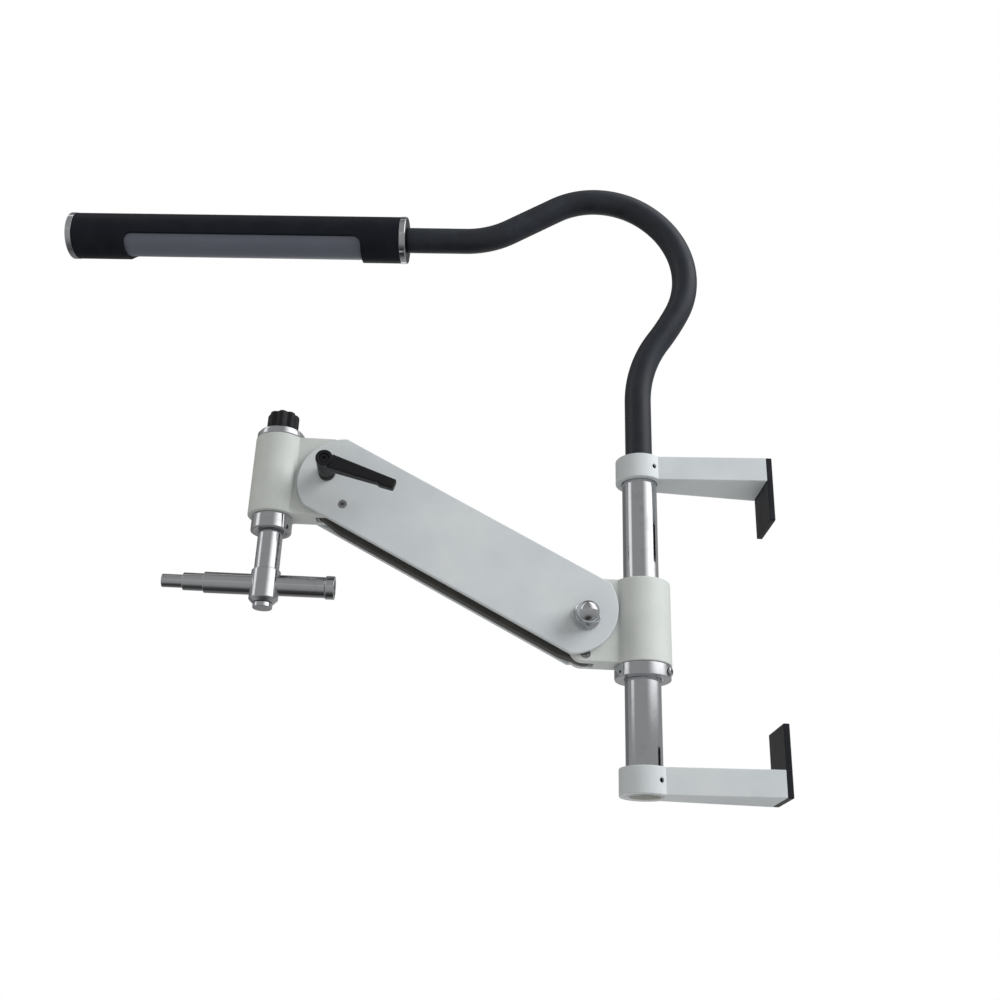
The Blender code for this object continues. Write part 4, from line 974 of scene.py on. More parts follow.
@dataclass
class WallFrame(Assembly):
    """The mounting plates, the brackets, the post and what closes it."""

    plate_thickness: float = 0.006
    plate_width: float = 0.055
    plate_height: float = 0.072
    plate_corner: float = 0.0012
    plate_edge: float = 0.0007
    wall_hole_radius: float = 0.004
    wall_hole_spacing: float = 0.032
    wall_hole_depth: float = 0.020
    bracket_reach: float = 0.1325
    bracket_height: float = 0.027
    ring_radius: float = 0.0253
    ring_points: int = 72
    half_at_ring: float = 0.0180
    casting_edge: float = 0.0010
    grub_radius: float = 0.0022
    grub_below: float = 0.0015
    grub_azimuth: float = math.radians(-59)
    grub_chamfer: float = 0.0003
    grub_socket: Point = (0.0013, 0.0020)
    mouth_width: float = 0.0008  # of the set screw's hole, round the screw
    mouth_foot_width: float = 0.0007
    mouth_proud: float = 0.0002
    mouth_depth: float = 0.0004
    screw_radius: float = 0.004
    screw_head_radius: float = 0.008
    screw_head_height: float = 0.0044
    screw_land: float = 0.0004
    screw_length: float = 0.026
    screw_socket: Point = (0.0028, 0.0027)
    post_radius: float = 0.0184
    post_bore: float = 0.0159
    post_height: float = 0.358
    post_edge: float = 0.0006
    grommet_low: float = 0.012
    grommet_high: float = 0.018
    grommet_edge: float = 0.0010
    cable_hole: float = 0.0033
    plug_shank: float = 0.022
    plug_flange: float = 0.003
    plug_boss: float = 0.012
    plug_edge: float = 0.0005
    core_radius: float = 0.009

    def build(self) -> None:
        """Make every piece of it."""
        half_bracket = self.bracket_height / 2
        half_plate = self.plate_height / 2
        self.build_mount("lower", half_bracket, half_plate)
        self.build_mount("upper", self.post_height - half_bracket, self.post_height - half_plate)
        self.build_post()

    def build_mount(self, level: str, bracket_z: float, plate_z: float) -> None:
        """One bracket with its plate and screws.

        Args:
            level: Which of the two it is.
            bracket_z: The bracket's middle above the post's foot.
            plate_z: The plate's middle above the post's foot.
        """
        post = self.layout.post
        screw = stepped(
            (self.screw_head_radius, 0, -self.screw_land),
            (self.screw_radius, -self.screw_head_height, -self.screw_length),
            (0, -self.screw_length),
        )
        place = post @ shift(self.bracket_reach + self.plate_thickness, 0, bracket_z) @ RIGHT
        room = [(0, OVERRUN), (self.screw_head_radius + GAP, OVERRUN)]
        room += [(radius + GAP if radius else 0, height - GAP / 2) for radius, height in screw]
        sideways = Matrix(((0, 0, 1, 0), (1, 0, 0, 0), (0, 1, 0, 0), (0, 0, 0, 1)))
        outline = rectangle(self.plate_width / 2, self.plate_height / 2, self.plate_corner)
        plate = Form().slab([outline], 0, self.plate_thickness, self.plate_edge)
        mesh = plate.mesh(post @ shift(self.bracket_reach, 0, plate_z) @ sideways)
        mesh = carve(mesh, *self.end_tools(room, place))
        self.bench.fit(f"{level}_mounting_plate", mesh, PLATE_BLACK)
        self.screw(f"{level}_bracket_screw", place, STEEL, screw, self.screw_socket)

        ring_place = post @ shift(z=bracket_z)
        grub_place = ring_place @ outwards(self.grub_azimuth, 0, 0)
        hole = self.grub_radius + GAP
        grub_room = [
            (0, self.ring_radius + OVERRUN),
            (self.grub_radius + self.mouth_width, self.ring_radius + OVERRUN),
            (self.grub_radius + self.mouth_foot_width, self.ring_radius + self.mouth_proud),
            (hole, self.ring_radius - self.mouth_depth),
            (hole, self.post_radius - OVERRUN),
            (0, self.post_radius - OVERRUN),
        ]
        side = math.asin(self.half_at_ring / self.ring_radius)
        end = self.bracket_reach - GAP
        outline = arc((0, 0), self.ring_radius, side, 2 * math.pi - side, self.ring_points)
        outline += [(end, -self.plate_width / 2), (end, self.plate_width / 2)]
        half = self.bracket_height / 2
        bore = circle(self.post_radius + GAP)
        bracket = Form().slab([outline, bore], -half, half, self.casting_edge).mesh(ring_place)
        tools = self.end_tools(room, place)
        tools.append(Form().lathe(grub_room, count=SMALL_ROUND).mesh(grub_place))
        self.bench.fit(f"{level}_bracket", carve(bracket, *tools), WHITE)
        grub_start = self.post_radius + GAP
        grub_end = self.ring_radius - self.grub_below
        grub = [
            (self.grub_radius - self.grub_chamfer, grub_end),
            (self.grub_radius, grub_end - self.grub_chamfer),
            (self.grub_radius, grub_start),
            (0, grub_start),
        ]
        node = f"{level}_bracket_set_screw"
        self.screw(node, grub_place, BLACKENED, grub, self.grub_socket)

    def end_tools(self, room: Sequence[Point], place: Matrix) -> list[bpy.types.Mesh]:
        """What is cut out of a mounting plate and of the bracket behind it.

        Args:
            room: The profile of the bracket screw's room.
            place: The bracket screw's place, with its own Z outwards.

        Returns:
            The screw's room and the two tapped holes beside it.
        """
        tools = [Form().lathe(room, count=SMALL_ROUND).mesh(place)]
        for side in (-1, 1):
            beside = place @ shift(0, side * self.wall_hole_spacing / 2, 0)
            tools.append(cutter(self.wall_hole_radius, -self.wall_hole_depth, OVERRUN, beside))
        return tools

    def build_post(self) -> None:
        """The post, its grommet and the neck's plug."""
        post = self.layout.post
        section = tube(self.post_radius, self.post_bore, 0, self.post_height)
        self.turn("post_tube", post, POST_CHROME, section, self.post_edge, True, FINE)
        inside = self.post_bore - GAP
        section = tube(inside, self.cable_hole, self.grommet_low, self.grommet_high)
        self.turn("post_grommet", post, RUBBER, section, self.grommet_edge, True)
        low = self.post_height + GAP
        foot = low + self.plug_flange
        plug = stepped(
            (self.cable_hole, foot + self.plug_boss),
            (self.core_radius, foot + self.plug_boss, foot),
            (self.post_radius, foot, low),
            (inside, low, low - self.plug_shank),
            (self.cable_hole, low - self.plug_shank),
        )
        self.turn("neck_plug", post, STEEL, plug, self.plug_edge, True, corner_points=3)
        self.bench.repaint(RUBBER, "feed_cable")


@dataclass
class HeightCollar(Assembly):
    """The chromed collar that carries the swing block, with its set screw."""

    radius: float = 0.0287
    bore: float = 0.0187
    height: float = 0.0133
    bore_chamfer: float = 0.0012
    edge: float = 0.0008
    screw_radius: float = 0.003
    screw_head_radius: float = 0.0048
    screw_head_height: float = 0.0022
    screw_rounding: float = 0.0016
    screw_points: int = 8
    screw_socket: Point = (0.0021, 0.0030)
    screw_azimuth: float = math.radians(-31)

    def build(self) -> None:
        """Make the collar and its screw."""
        top = -self.layout.half_block - GAP
        low = top - self.height
        swing = self.layout.swing
        section = [
            (self.bore, top),
            (self.radius, top),
            (self.radius, low),
            (self.bore + self.bore_chamfer, low),
            (self.bore, low + self.bore_chamfer),
        ]
        collar = Form().lathe(soften(section, self.edge, True), True, FINE).mesh(swing)
        place = swing @ outwards(self.screw_azimuth, 0, top - self.height / 2)
        ends = self.bore - OVERRUN, self.radius + OVERRUN
        mesh = carve(collar, cutter(self.screw_radius + GAP, *ends, place))
        self.bench.fit("height_collar", mesh, CHROME)
        seat = self.radius + GAP
        centre = (
            self.screw_head_radius - self.screw_rounding,
            seat + self.screw_head_height - self.screw_rounding,
        )
        screw = arc(centre, self.screw_rounding, QUARTER, 0, self.screw_points)
        screw += [(self.screw_head_radius, seat), (self.screw_radius, seat)]
        screw += [(self.screw_radius, self.bore), (0, self.bore)]
        self.screw("collar_set_screw", place, CHROME, screw, self.screw_socket)


@dataclass
class ForkBlock(Assembly):
    """A white casting: an upright cylinder with a forked lug, its bush and its link pin."""

    place: Matrix
    nodes: tuple[str, str, str]  # the block, its bush and its pin
    radius: float
    bore: float
    bush_outer: float
    bush_inner: float
    pivot_reach: float
    half_lug: float = 0.015
    lug_end: float = 0.016
    lug_corner: float = 0.014
    lug_corner_steps: int = 8
    end_corner: float = 0.0016
    fillet: float = 0.0028
    edge: float = 0.0012
    edge_steps: int = 4
    back_points: int = 72
    fillet_points: int = 8
    corner_points: int = 5
    bore_chamfer: float = 0.0006
    slot_height: float = 0.060
    half_slot: float = 0.0065
    slot_corner: float = 0.0015
    eye_radius: float = 0.0095
    bolt_hole: float = 0.008
    bush_edge: float = 0.0004
    pin_radius: float = 0.005
    pin_recess: float = 0.002
    pin_edge: float = 0.0006

    def outline(self, reach: float, inset: float) -> list[Point]:
        """The block from above: round behind, and filleted into the lug's flat sides.

        Args:
            reach: How far the lug reaches at this height.
            inset: How far this level lies inside the full outline.

        Returns:
            The outline, of as many points at every level.
        """
        radius = self.radius - inset
        half = self.half_lug - inset
        fillet = self.fillet + inset
        across = math.sqrt((radius + fillet) ** 2 - (half + fillet) ** 2)
        tangent = math.atan2(half + fillet, across)
        corner = self.end_corner - inset
        end = reach - inset - corner
        back = arc((0, 0), radius, tangent, 2 * math.pi - tangent, self.back_points)
        turns, count = (math.pi - tangent, QUARTER), self.fillet_points
        lower = arc((across, -half - fillet), fillet, *turns, count)
        upper = arc((across, half + fillet), fillet, -turns[1], -turns[0], count)
        near = arc((end, corner - half), corner, -QUARTER, 0, self.corner_points)
        far = arc((end, half - corner), corner, 0, QUARTER, self.corner_points)
        return back + lower[1:] + near + far + upper[:-1]

    def levels(self) -> list[tuple[float, float, float]]:
        """The levels from the middle up, where the lug's corner and the edge round over.

        Returns:
            Height, reach and inset of each.
        """
        top = self.layout.half_block
        start = top - self.lug_corner
        steps = []
        for step in range(self.lug_corner_steps + 1):
            rise = math.sin(QUARTER * step / self.lug_corner_steps)
            steps.append((start + (self.lug_corner - self.edge) * rise, 0.0))
        steps += [(top - drop, inset) for drop, inset in eased(self.edge, self.edge_steps)[1:]]
        result = []
        for height, inset in steps:
            above = min(1.0, (height - start) / self.lug_corner)
            pulled = self.lug_corner * (1 - math.sqrt(1 - above**2))
            result.append((height, self.pivot_reach + self.lug_end - pulled, inset))
        return result

    def build(self) -> None:
        """Make the casting, its bush and its pin."""
        block_node, bush_node, pin_node = self.nodes
        upper = self.levels()
        both = [(-height, reach, inset) for height, reach, inset in reversed(upper)] + upper
        casting = Form()
        outside = casting.skin([raised(self.outline(reach, inset), z) for z, reach, inset in both])
        half = self.layout.half_block
        chamfer = self.bore_chamfer
        bore_levels = [(chamfer, half), (0, half - chamfer), (0, chamfer - half), (chamfer, -half)]
        inside = casting.skin([raised(circle(self.bore + wider), z) for wider, z in bore_levels])
        casting.cap(outside[-1], inside[0])
        casting.cap(outside[0], inside[-1])

        slot_start = self.pivot_reach - self.eye_radius
        slot_end = self.pivot_reach + self.lug_end + OVERRUN
        slot_outline = rectangle((slot_end - slot_start) / 2, self.half_slot, self.slot_corner)
        slot = Form().slab([slot_outline], -half - OVERRUN, self.slot_height - half, 0)
        across = self.half_lug + OVERRUN
        pivot = self.place @ shift(self.pivot_reach) @ FORWARD
        pin_place = self.place @ shift(self.pivot_reach, 0, -self.layout.link_drop) @ FORWARD
        mesh = carve(
            casting.mesh(self.place),
            slot.mesh(self.place @ shift((slot_start + slot_end) / 2)),
            cutter(self.bolt_hole, -across, across, pivot),
            cutter(self.pin_radius + GAP, -across, across, pin_place),
        )
        self.bench.fit(block_node, mesh, CAST_WHITE)
        bush = tube(self.bush_outer, self.bush_inner, -half, half)
        self.turn(bush_node, self.place, BRONZE, bush, self.bush_edge, True)
        reach = self.half_lug - self.pin_recess
        pin = disc(self.pin_radius, -reach, reach)
        self.turn(pin_node, pin_place, STEEL, pin, self.pin_edge, count=SMALL_ROUND)


@dataclass
class Arm(Assembly):
    """The two side plates with their bosses, the bolts across them, the cap nut and a screw."""

    half_width: float = 0.0430
    rise: float = 0.0016
    end_radius: float = 0.049
    end_points: int = 40
    past_post_pivot: float = 0.030
    past_head_pivot: float = 0.0286
    inner: float = 0.0165
    plate_thickness: float = 0.006
    plate_edge: float = 0.0010
    boss_radius: float = 0.017
    boss_height: float = 0.0012
    boss_edge: float = 0.0003
    bolt_hole: float = 0.008
    screw_along: float = 0.032
    screw_below: float = 0.0213
    screw_recess: float = 0.0005
    screw_radius: float = 0.0022
    screw_head_radius: float = 0.0045
    screw_head_height: float = 0.0025
    screw_chamfer: float = 0.0003
    screw_socket: Point = (0.0019, 0.0045)
    countersink: float = 0.0010  # round the screw's head
    countersink_depth: float = 0.0007
    flange_radius: float = 0.0145
    flange_thickness: float = 0.0015
    head_flats: float = 0.024
    head_height: float = 0.010
    head_edge: float = 0.0004
    head_turned_down: float = 0.0022
    head_slope_out: float = 0.0006
    shank_radius: float = 0.0077
    thread_radius: float = 0.0049
    thread_proud: float = 0.0105
    nut_low: float = 0.0007
    nut_hex_height: float = 0.013
    nut_flange_edge: float = 0.0005
    nut_flange_rise: float = 0.0003
    nut_flange_taper: float = 0.0002
    dome_radius: float = 0.0115
    dome_wall: float = 0.0035
    dome_points: int = 24

    @property
    def outer(self) -> float:
        """A side plate's outer face, from the arm's middle."""
        return self.inner + self.plate_thickness

    @property
    def seat(self) -> float:
        """Where nut and bolt heads bear, from the arm's middle."""
        return self.outer + GAP

    def outline(self) -> list[Point]:
        """A side plate: straight edges between two shallow round ends.

        Returns:
            Its outline, in the arm's own axes.
        """
        spread = math.asin(self.half_width / self.end_radius)
        post_centre = (self.past_post_pivot - self.end_radius, self.rise)
        head_reach = self.layout.arm_length + self.past_head_pivot
        head_centre = (self.end_radius - head_reach, self.rise)
        post_end = arc(post_centre, self.end_radius, -spread, spread, self.end_points)
        ends = math.pi - spread, math.pi + spread
        return post_end + arc(head_centre, self.end_radius, *ends, self.end_points)

    def build(self) -> None:
        """Make the plates and what holds them."""
        arm = self.layout.arm
        along = self.screw_along - self.layout.arm_length
        place = arm @ shift(along, -self.outer, -self.screw_below) @ FORWARD
        wide = self.screw_head_radius + self.countersink
        hole = self.screw_radius + GAP
        through = -self.plate_thickness - OVERRUN
        room = [
            (0, OVERRUN),
            (wide + OVERRUN, OVERRUN),
            (wide, 0.0),
            (self.screw_head_radius + GAP, -self.countersink_depth),
            (hole, -self.screw_head_height),
            (hole, through),
            (0, through),
        ]
        tool = Form().lathe(room, count=SMALL_ROUND).mesh(place)
        self.bench.fit("front_arm_plate", carve(self.plate(1).mesh(arm), tool), WHITE)
        self.bench.fit("back_arm_plate", self.plate(-1).mesh(arm), WHITE)
        face, chamfer = -self.screw_recess, self.screw_chamfer
        screw = [
            (self.screw_head_radius - self.screw_recess, face),
            (self.screw_head_radius - chamfer, face - chamfer),
            (self.screw_radius, -self.screw_head_height),
            (self.screw_radius, -self.plate_thickness),
            (0, -self.plate_thickness),
        ]
        self.screw("arm_plate_screw", place, STEEL, screw, self.screw_socket)
        self.build_bolt("arm_bolt", arm)
        self.build_bolt("lever_stud", arm @ shift(-self.layout.arm_length))
        self.build_nut()

    def plate(self, side: int) -> Form:
        """A side plate with its two bosses.

        Args:
            side: 1 for the front, -1 for the back.

        Returns:
            The form, in the arm's own axes.
        """
        pivots = (0, -self.layout.arm_length)
        holes = [circle(self.bolt_hole, SMALL_ROUND, x) for x in pivots]
        ends = sorted((side * self.inner, side * self.outer))
        flat = Form().slab([self.outline(), *holes], *ends, self.plate_edge)
        ends = sorted((side * self.inner, side * (self.inner - self.boss_height)))
        boss = soften(tube(self.boss_radius, self.bolt_hole, *ends), self.boss_edge, True)
        for x in pivots:
            flat.with_form(Form().lathe(boss, True), shift(x))
        return Form().with_form(flat, FORWARD)

    def hexagon_head(self, low: float, high: float) -> Form:
        """A hexagon with its corners turned down at the top.

        Args:
            low: Its lower face.
            high: Its upper face.

        Returns:
            The form.
        """
        corner = self.head_flats / math.sqrt(3)
        sides = Form().slab([circle(corner, HEXAGON)], low, high, self.head_edge)
        past = corner + self.head_slope_out
        limit = [(0, high + GAP), (self.head_flats / 2 - self.head_edge, high + GAP)]
        limit += [(past, high - self.head_turned_down), (past, low - OVERRUN), (0, low - OVERRUN)]
        outer = disc(2 * corner, low - 2 * OVERRUN, high + OVERRUN)
        shell = carve(Form().lathe(outer).mesh(UPRIGHT), Form().lathe(limit).mesh(UPRIGHT))
        return Form(carve(sides.mesh(UPRIGHT), shell))

    def build_bolt(self, node: str, place: Matrix) -> None:
        """A bolt's flanged head behind, and its shank.

        Args:
            node: The bolt's node.
            place: Its pivot.
        """
        seat, edge = self.seat, self.head_edge
        low = -seat - self.flange_thickness
        flange = stepped((0, -seat), (self.flange_radius, -seat, low), (0, low - edge))
        bolt = Form().lathe(soften(flange, edge, False))
        head = self.hexagon_head(seat + self.flange_thickness / 2, seat + self.head_height)
        bolt.with_form(head, BACKWARDS)
        end = seat + self.thread_proud
        shank = stepped(
            (0, end),
            (self.thread_radius, end, self.outer),
            (self.shank_radius, self.outer, -seat),
            (0, -seat),
        )
        bolt.with_form(Form().lathe(shank, count=SMALL_ROUND))
        self.bench.fit(node, bolt.mesh(place @ FORWARD), STEEL)

    def build_nut(self) -> None:
        """The chromed cap nut on the front."""
        foot = self.seat + self.nut_hex_height + self.dome_wall
        dome = arc((0, foot), self.dome_radius, QUARTER, 0, self.dome_points)
        dome[0] = (0, foot + self.dome_radius)
        low = self.seat + self.flange_thickness
        dome += [(self.dome_radius, low), (0, low)]
        flange = [
            (0, low + self.nut_flange_rise),
            (self.flange_radius - self.nut_flange_taper, low),
            (self.flange_radius, self.seat),
            (0, self.seat),
        ]
        nut = Form().lathe(dome)
        nut.with_form(Form().lathe(soften(flange, self.nut_flange_edge, False)))
        top = self.seat + self.nut_hex_height
        nut.with_form(self.hexagon_head(self.seat + self.nut_low, top))
        self.bench.fit("cap_nut", nut.mesh(self.layout.arm @ FORWARD), CHROME)


@dataclass
class Link(Assembly):
    """The black bar that keeps the head level, with a tapered eye at each end."""

    thickness: float = 0.012
    half_height: float = 0.0123
    eye_radius: float = 0.008
    eye_lean: float = math.radians(80)
    eye_points: int = 24
    taper: float = 0.024
    pin_hole: float = 0.0053
    edge: float = 0.0010

    def build(self) -> None:
        """Make the bar."""
        lean, length, high = self.eye_lean, self.layout.arm_length, self.half_height
        far = self.taper - length
        outline = arc((0, 0), self.eye_radius, -lean, lean, self.eye_points)
        outline += [(-self.taper, high), (far, high)]
        ends = math.pi - lean, math.pi + lean
        outline += arc((-length, 0), self.eye_radius, *ends, self.eye_points)
        outline += [(far, -high), (-self.taper, -high)]
        holes = [circle(self.pin_hole, SMALL_ROUND, x) for x in (0, -length)]
        half = self.thickness / 2
        bar = Form().slab([outline, *holes], -half, half, self.edge)
        self.bench.fit("link_bar", bar.mesh(self.layout.link @ FORWARD), LINK_BLACK)


@dataclass
class Lever(Assembly):
    """The clamp lever: its hub with the recessed screw, and its tapered grip."""

    seat: float = 0.0228
    insert_length: float = 0.022
    hub_radius: float = 0.0088
    hub_height: float = 0.0384
    hub_ledge: float = 0.005
    hub_edge: float = 0.0007
    mouth: float = 0.0006
    groove: tuple[float, ...] = (0.0082, 0.0074, 0.0066, 0.0058)  # heights above the hub's foot
    groove_depth: float = 0.0010
    lift: float = 0.004
    screw_radius: float = 0.0022
    screw_length: float = 0.018
    screw_head_radius: float = 0.0047
    screw_head_height: float = 0.006
    screw_chamfer: float = 0.0005
    screw_socket: Point = (0.0024, 0.0022)
    grip_length: float = 0.077
    grip_start: float = 0.0066
    root_step: float = 0.0005
    root_steps: int = 3
    body_start: float = 0.012
    body_steps: int = 40
    end_steps: int = 6
    half_at_hub: float = 0.0081
    half_at_end: float = 0.0046
    heel: float = 0.0015
    heel_length: float = 0.018
    heel_slope: float = 0.003
    depth_at_hub: float = 0.0070
    depth_at_end: float = 0.0048
    grip_corner: float = 0.0016
    section_corner: float = 0.0024
    grip_below_top: float = 0.0015
    angle: float = math.radians(17.4)

    def build(self) -> None:
        """Make the handle and its screw."""
        place = self.layout.level @ FORWARD
        low = self.seat + GAP
        top = low + self.hub_height
        ledge = self.seat + self.insert_length + GAP + self.hub_ledge
        room = self.screw_head_radius + GAP
        waist = self.hub_radius - self.groove_depth
        radii = (self.hub_radius, waist, waist, self.hub_radius)
        hub = [(0, ledge), (room, ledge), (room, top - self.mouth), (room + self.mouth, top)]
        hub += [(self.hub_radius, top)]
        hub += [(radius, low + height) for radius, height in zip(radii, self.groove)]
        hub += [(self.hub_radius, low), (0, low)]
        handle = Form().lathe(soften(hub, self.hub_edge, False))
        middle = top - self.grip_below_top - self.depth_at_hub
        lean = Matrix.Rotation(self.angle, 4, "Z").inverted()
        handle.with_form(self.grip(), lean @ shift(z=middle))
        self.bench.fit("lever_handle", handle.mesh(place), PLASTIC)

        head_low = ledge + self.lift + GAP
        head_top = head_low + self.screw_head_height
        screw = stepped(
            (self.screw_head_radius - self.screw_chamfer, head_top),
            (self.screw_head_radius, head_top - self.screw_chamfer, head_low),
            (self.screw_radius, head_low, head_low - self.screw_length),
            (0, head_low - self.screw_length),
        )
        self.screw("lever_screw", place, PLATE_BLACK, screw, self.screw_socket)
        self.bench.repaint(STEEL, "lever_insert")

    def grip(self) -> Form:
        """The grip along +X from inside the hub's wall, with a shallow heel below its end.

        Returns:
            The form, closed at both ends.
        """
        end_start = self.grip_length - self.grip_corner
        body = end_start - self.body_start
        root = range(self.root_steps)
        stations = [(self.grip_start + self.root_step * step, 0.0) for step in root]
        for step in range(self.body_steps + 1):
            stations.append((self.body_start + body * step / self.body_steps, 0.0))
        for step in range(1, self.end_steps + 1):
            turn = QUARTER * step / self.end_steps
            inset = self.grip_corner * (1 - math.cos(turn))
            stations.append((end_start + self.grip_corner * math.sin(turn), inset))
        loops = []
        for along, inset in stations:
            share = along / self.grip_length
            half = self.half_at_hub + (self.half_at_end - self.half_at_hub) * share - inset
            past_heel = (along - self.grip_length + self.heel_length) / self.heel_slope
            heel = self.heel * min(1.0, max(0.0, past_heel)) / 2
            depth = self.depth_at_hub + (self.depth_at_end - self.depth_at_hub) * share - inset
            section = rectangle(half + heel, depth, self.section_corner)
            loops.append([Vector((along, y - heel, z)) for y, z in section])
        grip = Form()
        made = grip.skin(loops)
        grip.cap(made[0])
        grip.cap(made[-1])
        return grip


@dataclass
class Head(Assembly):
    """What turns in, on and under the head block: ring, collar, spindle, clamp screw and knob."""

    neck_radius: float = 0.010
    spindle_radius: float = 0.0128
    spindle_edge: float = 0.0006
    cross_radius: float = 0.0149
    cross_above: float = 0.0145
    cross_below: float = 0.0205
    cross_chamfer: float = 0.0038
    cross_groove: float = 0.0004
    cross_shoulder: float = 0.0006
    rod_bore: float = 0.0112
    ring_radius: float = 0.0254
    ring_height: float = 0.008
    ring_step: float = 0.0018
    ring_chamfer: float = 0.0006
    ring_edge: float = 0.0005
    collar_radius: float = 0.0211
    collar_height: float = 0.0163
    collar_edge: float = 0.0008
    recess_radius: float = 0.0165
    recess_depth: float = 0.002
    thread_radius: float = 0.004
    thread_length: float = 0.017
    thread_sunk: float = 0.0008
    knob_radius: float = 0.0168
    flute_depth: float = 0.0022
    flute_power: float = 1.5
    lobes: int = 8
    points_per_lobe: int = 18
    knob_height: float = 0.021
    knob_crown: float = 0.0036
    crown_steps: int = 8
    knob_edge: float = 0.0010
    knob_boss_radius: float = 0.010
    knob_boss_height: float = 0.0028
    knob_hole: float = 0.016
    dish: float = 0.0004
    dish_steps: tuple[Point, ...] = ((0.92, 0.0003), (0.6, 0.0004), (0.3, 0.0004))
    clamp_radius: float = 0.0038
    clamp_head_radius: float = 0.010
    clamp_head_height: float = 0.005
    clamp_edge: float = 0.0007

    def build(self) -> None:
        """Make every piece of it."""
        head = self.layout.head
        low = self.layout.half_block + GAP
        high = low + self.ring_height
        hole = self.neck_radius + GAP
        step, chamfer = self.ring_step, self.ring_chamfer
        ring = stepped(
            (hole, high),
            (self.ring_radius - step, high, high - step),
            (self.ring_radius, high - step - chamfer, low + chamfer),
            (self.ring_radius - chamfer, low),
            (hole, low),
        )
        self.turn("head_top_ring", head, CHROME, ring, self.ring_edge, True, FINE)
        shoulder = -low
        collar_low = shoulder - self.collar_height
        bore = self.spindle_radius + GAP
        collar = stepped(
            (bore, shoulder),
            (self.collar_radius, shoulder, collar_low),
            (self.recess_radius, collar_low, collar_low + self.recess_depth),
            (bore, collar_low + self.recess_depth),
        )
        self.turn("head_collar", head, CHROME, collar, self.collar_edge, True, FINE)
        self.build_spindle(shoulder, high)
        self.build_knob(high + GAP)

    def build_spindle(self, shoulder: float, ring_high: float) -> None:
        """The spindle with its cross head, and the clamp screw under it.

        Args:
            shoulder: Where the spindle's thick part begins, under the block.
            ring_high: The top ring's upper face.
        """
        head = self.layout.head
        rod_z = -self.layout.half_block - self.layout.rod_drop
        cross_top = rod_z + self.cross_above
        cross_low = rod_z - self.cross_below
        thread_low = ring_high - self.thread_sunk
        groove = self.cross_groove
        profile = stepped(
            (0, thread_low + self.thread_length),
            (self.thread_radius, thread_low + self.thread_length, thread_low),
            (self.neck_radius, thread_low, shoulder),
            (self.spindle_radius, shoulder, cross_top + groove),
            (self.spindle_radius - groove, cross_top + groove / 4),
            (self.cross_radius, cross_top - self.cross_shoulder, cross_low + self.cross_chamfer),
            (self.cross_radius - self.cross_chamfer, cross_low),
            (0, cross_low),
        )
        outline = soften(profile, self.spindle_edge, False, 3)
        spindle = Form().lathe(outline, count=FINE).mesh(head)
        reach = self.cross_radius + OVERRUN
        rod_place = head @ shift(0, self.layout.rod_behind, rod_z) @ RIGHT
        rod_hole = cutter(self.rod_bore, -reach, reach, rod_place, ROUND)
        clamp_hole = cutter(self.clamp_radius + GAP, cross_low - OVERRUN, rod_z, head)
        self.bench.fit("head_spindle", carve(spindle, rod_hole, clamp_hole), CHROME)

        tip = rod_z - self.rod_bore
        face = cross_low - GAP
        foot = face - self.clamp_head_height
        screw = stepped(
            (0, tip),
            (self.clamp_radius, tip, face),
            (self.clamp_head_radius, face, foot),
            (0, foot),
        )
        self.turn("rod_clamp_screw", head, CHROME, screw, self.clamp_edge)

    def lobed(self, inset: float, height: float, scale: float = 1.0) -> list[Vector]:
        """The knob's rim at one level.

        Args:
            inset: How far inside the full outline.
            height: The level.
            scale: Its scale about the axis.

        Returns:
            The rim's points.
        """
        count = self.lobes * self.points_per_lobe
        points = []
        for index in range(count):
            angle = 2 * math.pi * index / count
            wave = (1 - math.cos(self.lobes * angle)) / 2
            radius = self.knob_radius - self.flute_depth * wave**self.flute_power - inset
            points.append((scale * radius * math.cos(angle), scale * radius * math.sin(angle)))
        return raised(points, height)

    def build_knob(self, low: float) -> None:
        """The lobed knob with its boss.

        Args:
            low: The boss's lower face.
        """
        foot = low + self.knob_boss_height
        top = foot + self.knob_height
        bore = self.thread_radius + GAP
        count = self.lobes * self.points_per_lobe
        levels = [(bore, low), (self.knob_boss_radius, low), (self.knob_boss_radius, foot)]
        loops = turned(levels, count)
        for inset, rise in eased(self.knob_edge, EDGE_STEPS):
            loops.append(self.lobed(inset, foot + rise))
        for drop, inset in eased(self.knob_crown, self.crown_steps):
            loops.append(self.lobed(inset, top - drop - self.dish))
        for scale, rise in self.dish_steps:
            loops.append(self.lobed(self.knob_crown, top - self.dish + rise, scale))
        loops.append([Vector((0, 0, top))])
        knob = Form()
        knob.skin(loops)
        inside = [(bore, low), (bore, low + self.knob_hole), (0, low + self.knob_hole)]
        knob.with_form(Form().lathe(inside, count=SMALL_ROUND))
        self.bench.fit("lock_knob", knob.mesh(self.layout.head), PLASTIC)


